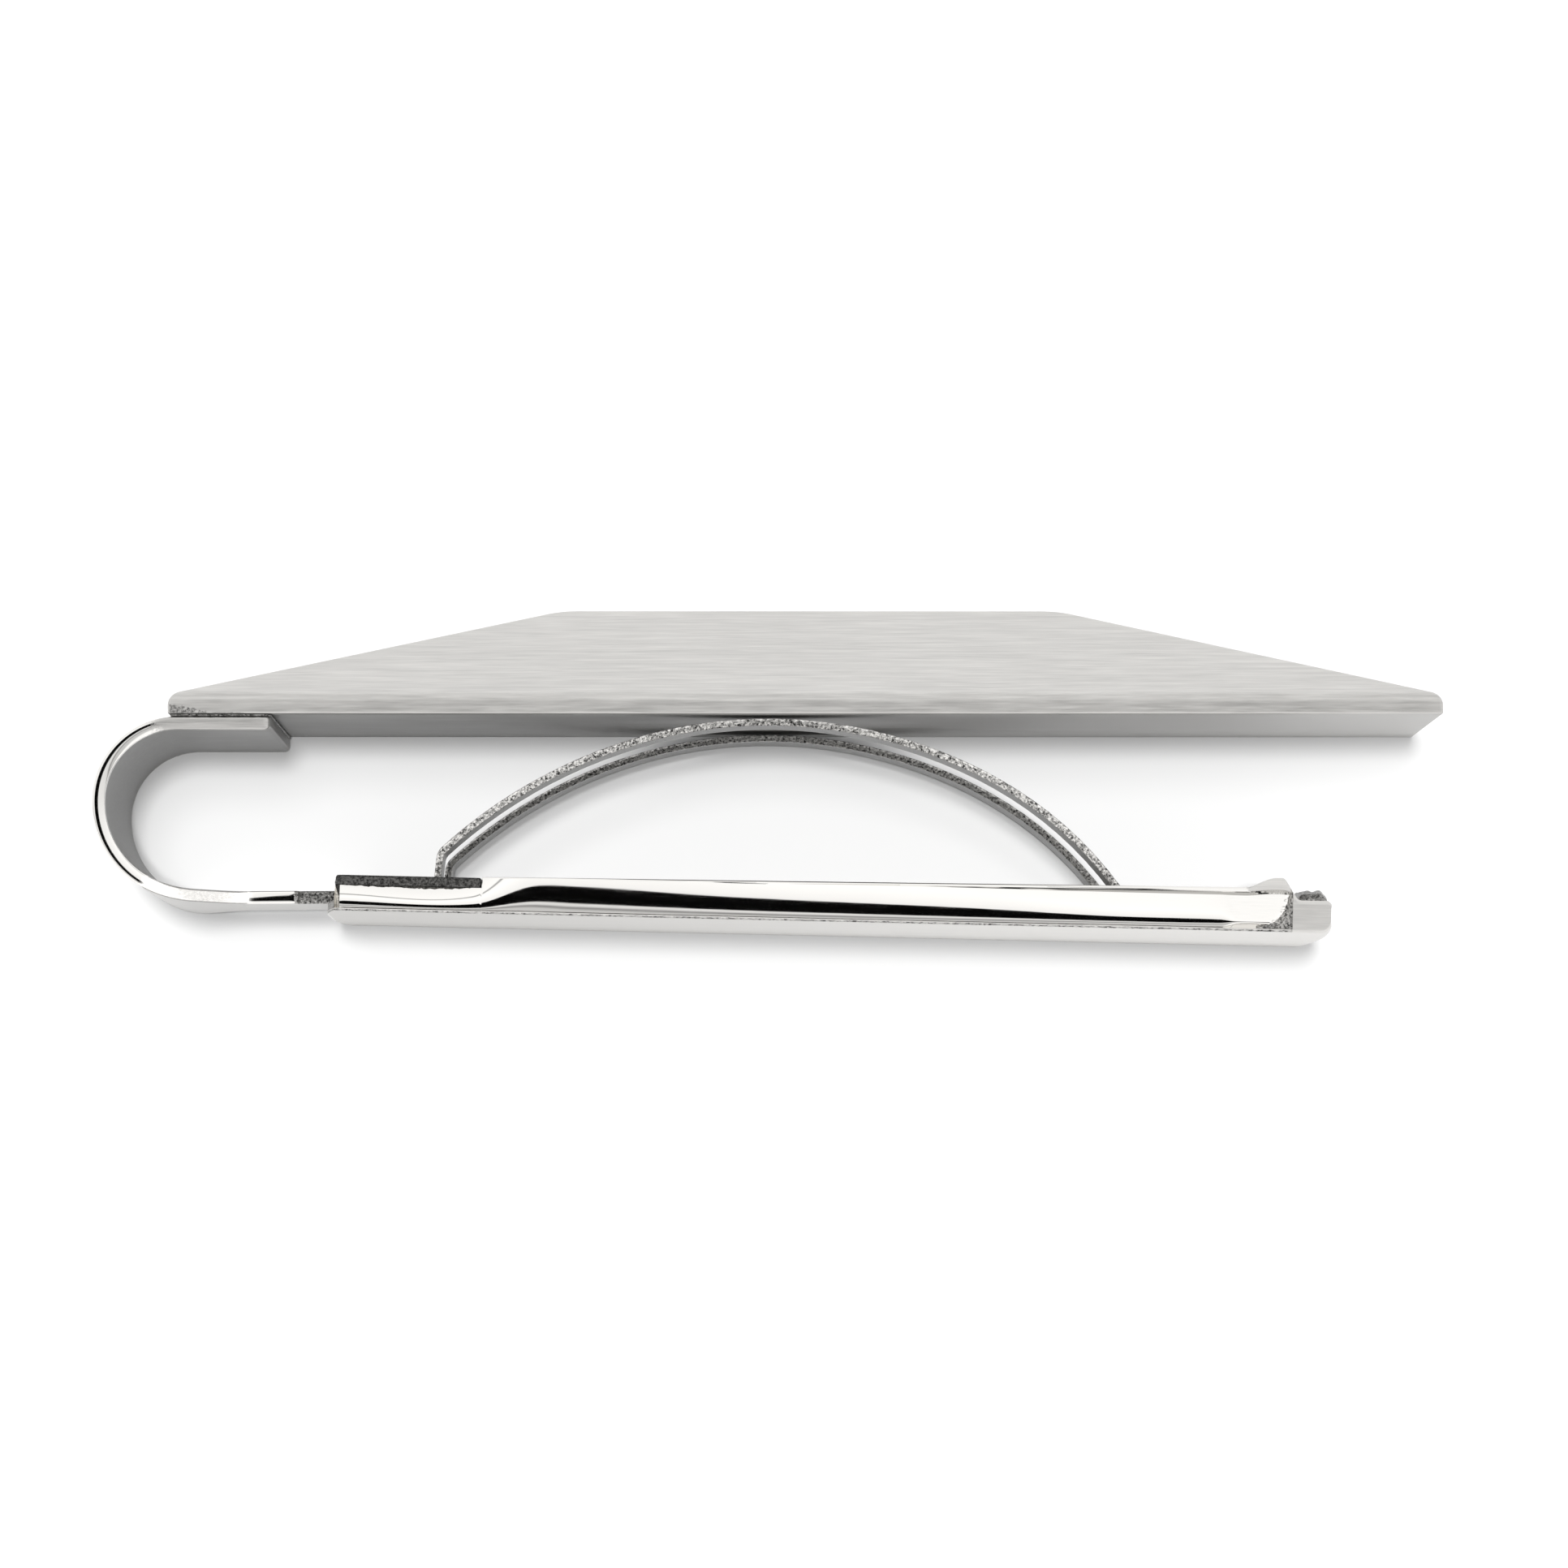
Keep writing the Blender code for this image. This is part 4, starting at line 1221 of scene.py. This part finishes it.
def make_bow_spring():
    """Two rails and the foot that joins them, as one closed leaf."""
    path, foot = bow_path()
    inner = BOW_OUTER_HALF - BOW_RAIL
    near = leaf(path, MID_Z + inner, MID_Z + BOW_OUTER_HALF)
    bow = new_piece("forked_bow_spring", near, METALS["bow_steel"])
    far = leaf(path, MID_Z - BOW_OUTER_HALF, MID_Z - inner)
    apply_boolean(bow, new_piece("far_rail", far, METALS["bow_steel"]), "UNION")
    bridge_path = evenly([foot[0].lerp(foot[1], 0.08), foot[0].lerp(foot[1], 0.97)], BOW_STEP)
    low = MID_Z - inner - BRIDGE_OVERLAP
    high = MID_Z + inner + BRIDGE_OVERLAP
    bridge = leaf(bridge_path, low, high, ragged=False)
    apply_boolean(bow, new_piece("foot_bridge", bridge, METALS["bow_steel"]), "UNION")
    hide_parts("bow_spring")
    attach(bow, "arm")
    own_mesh(bow)


make_bow_spring()


# ---------------------------------------------------------------- light, floor and camera

FLOOR_SIZE = 1.2
FLOOR_COLOR = (0.30, 0.30, 0.30, 1.0)
FLOOR_GLOW = 0.10
TENT_BRIGHTNESS = 1.12
CARD_CENTER = 1.9
CARD_HALF_ACROSS = 6.0
CARD_HALF_ALONG = 7.5
CARD_EDGE = (0.93, 1.07)
CARD_VALUE = 0.002
CAMERA_LENS = 241.5
CAMERA_POSITION = Vector((-1.65 * MM, -19.93 * MM, WIDTH + 432 * MM))
CAMERA_TARGET = Vector((0.65 * MM, -0.80 * MM, WIDTH))


def make_floor():
    """White paper that glows a little, so that its far parts stay white like the photograph's."""
    bm = bmesh.new()
    bmesh.ops.create_grid(bm, x_segments=8, y_segments=8, size=FLOOR_SIZE / 2)
    mesh = bpy.data.meshes.new("floor")
    bm.to_mesh(mesh)
    bm.free()
    floor = bpy.data.objects.new("floor", mesh)
    SCENE.collection.objects.link(floor)
    floor.location.z = CAD_BOX[0][2]
    paper = bpy.data.materials.new("floor_paper")
    paper.use_nodes = True
    shader = paper.node_tree.nodes["Principled BSDF"]
    shader.inputs["Base Color"].default_value = FLOOR_COLOR
    shader.inputs["Roughness"].default_value = 0.9
    shader.inputs["Specular IOR Level"].default_value = 0.1
    shader.inputs["Emission Color"].default_value = (1.0, 1.0, 1.0, 1.0)
    shader.inputs["Emission Strength"].default_value = FLOOR_GLOW
    mesh.materials.append(paper)


def make_tent():
    """A white light tent: a dark card round the lens overhead, and panels of slightly unequal brightness."""
    world = bpy.data.worlds.new("tent")
    SCENE.world = world
    world.use_nodes = True
    tent = Nodes(world.node_tree)
    x, y, z = tent.parts("Generated")
    along, across = [tent.math("DEGREES", tent.math("ARCTAN2", part, z)) for part in (x, y)]
    off_across = tent.math("DIVIDE", tent.math("SUBTRACT", across, CARD_CENTER), CARD_HALF_ACROSS)
    off_along = tent.math("DIVIDE", along, CARD_HALF_ALONG)
    squares = [tent.math("POWER", part, 2.0) for part in (off_across, off_along)]
    off = tent.math("SQRT", tent.math("ADD", *squares))
    card = tent.spread(off, *CARD_EDGE, CARD_VALUE, 1.0, "SMOOTHSTEP")

    ramp = tent.tree.nodes.new("ShaderNodeValToRGB")
    tent.put(ramp.inputs[0], tent.math("MULTIPLY_ADD", across, 1 / 180, 0.5))
    # Angle from straight overhead towards +Y, in degrees, and brightness
    panels = (
        (-90, 1.0), (-30, 1.15), (-17, 1.1), (-14, 0.62), (-9, 0.62), (-8, 0.3), (-7, 0.3), (-6, 0.8),
        (20, 1.15), (25, 1.1), (26, 0.45), (27.5, 0.45), (29, 1.1), (55, 1.0), (90, 0.9),
    )
    elements = ramp.color_ramp.elements
    while len(elements) < len(panels):
        elements.new(0.5)
    for element, (angle, value) in zip(elements, panels):
        element.position = angle / 180 + 0.5
        element.color = (value, value, value, 1.0)
    background = tent.tree.nodes["Background"]
    tent.put(background.inputs["Color"], tent.math("MULTIPLY", ramp.outputs[0], card))
    tent.put(background.inputs["Strength"], TENT_BRIGHTNESS)


def make_key(name, energy, angle, toward):
    """A sun that lights the floor and the matte, painted parts of the metal and casts the shadows, but isn't
    mirrored in the metal.
    """
    data = bpy.data.lights.new(name, "SUN")
    data.energy = energy
    data.angle = math.radians(angle)
    key = bpy.data.objects.new(name, data)
    SCENE.collection.objects.link(key)
    key.matrix_world = Vector(toward).to_track_quat("Z", "Y").to_matrix().to_4x4()
    key.visible_glossy = False


def make_camera():
    """The photograph's view: down on the clip's long edge, from just on the arm's side."""
    data = bpy.data.cameras.new("camera")
    camera = bpy.data.objects.new("camera", data)
    SCENE.collection.objects.link(camera)
    data.lens = CAMERA_LENS
    data.sensor_width = 36.0
    data.clip_start = 0.01
    data.clip_end = 10.0
    back = (CAMERA_POSITION - CAMERA_TARGET).normalized()
    right = Vector((0, 1, 0)).cross(back).normalized()
    up = back.cross(right)
    turn = Matrix((right, up, back)).transposed().to_4x4()
    camera.matrix_world = Matrix.Translation(CAMERA_POSITION) @ turn
    SCENE.camera = camera


make_floor()
make_tent()
make_key("near_key", 3.9, 3.2, (-0.012, 0.030, 1.0))
make_key("wide_key", 2.4, 9.0, (-0.035, 0.075, 1.0))
make_key("back_key", 2.0, 0.9, (0.0, -0.022, 1.0))
make_camera()
SCENE.view_settings.view_transform = "Standard"
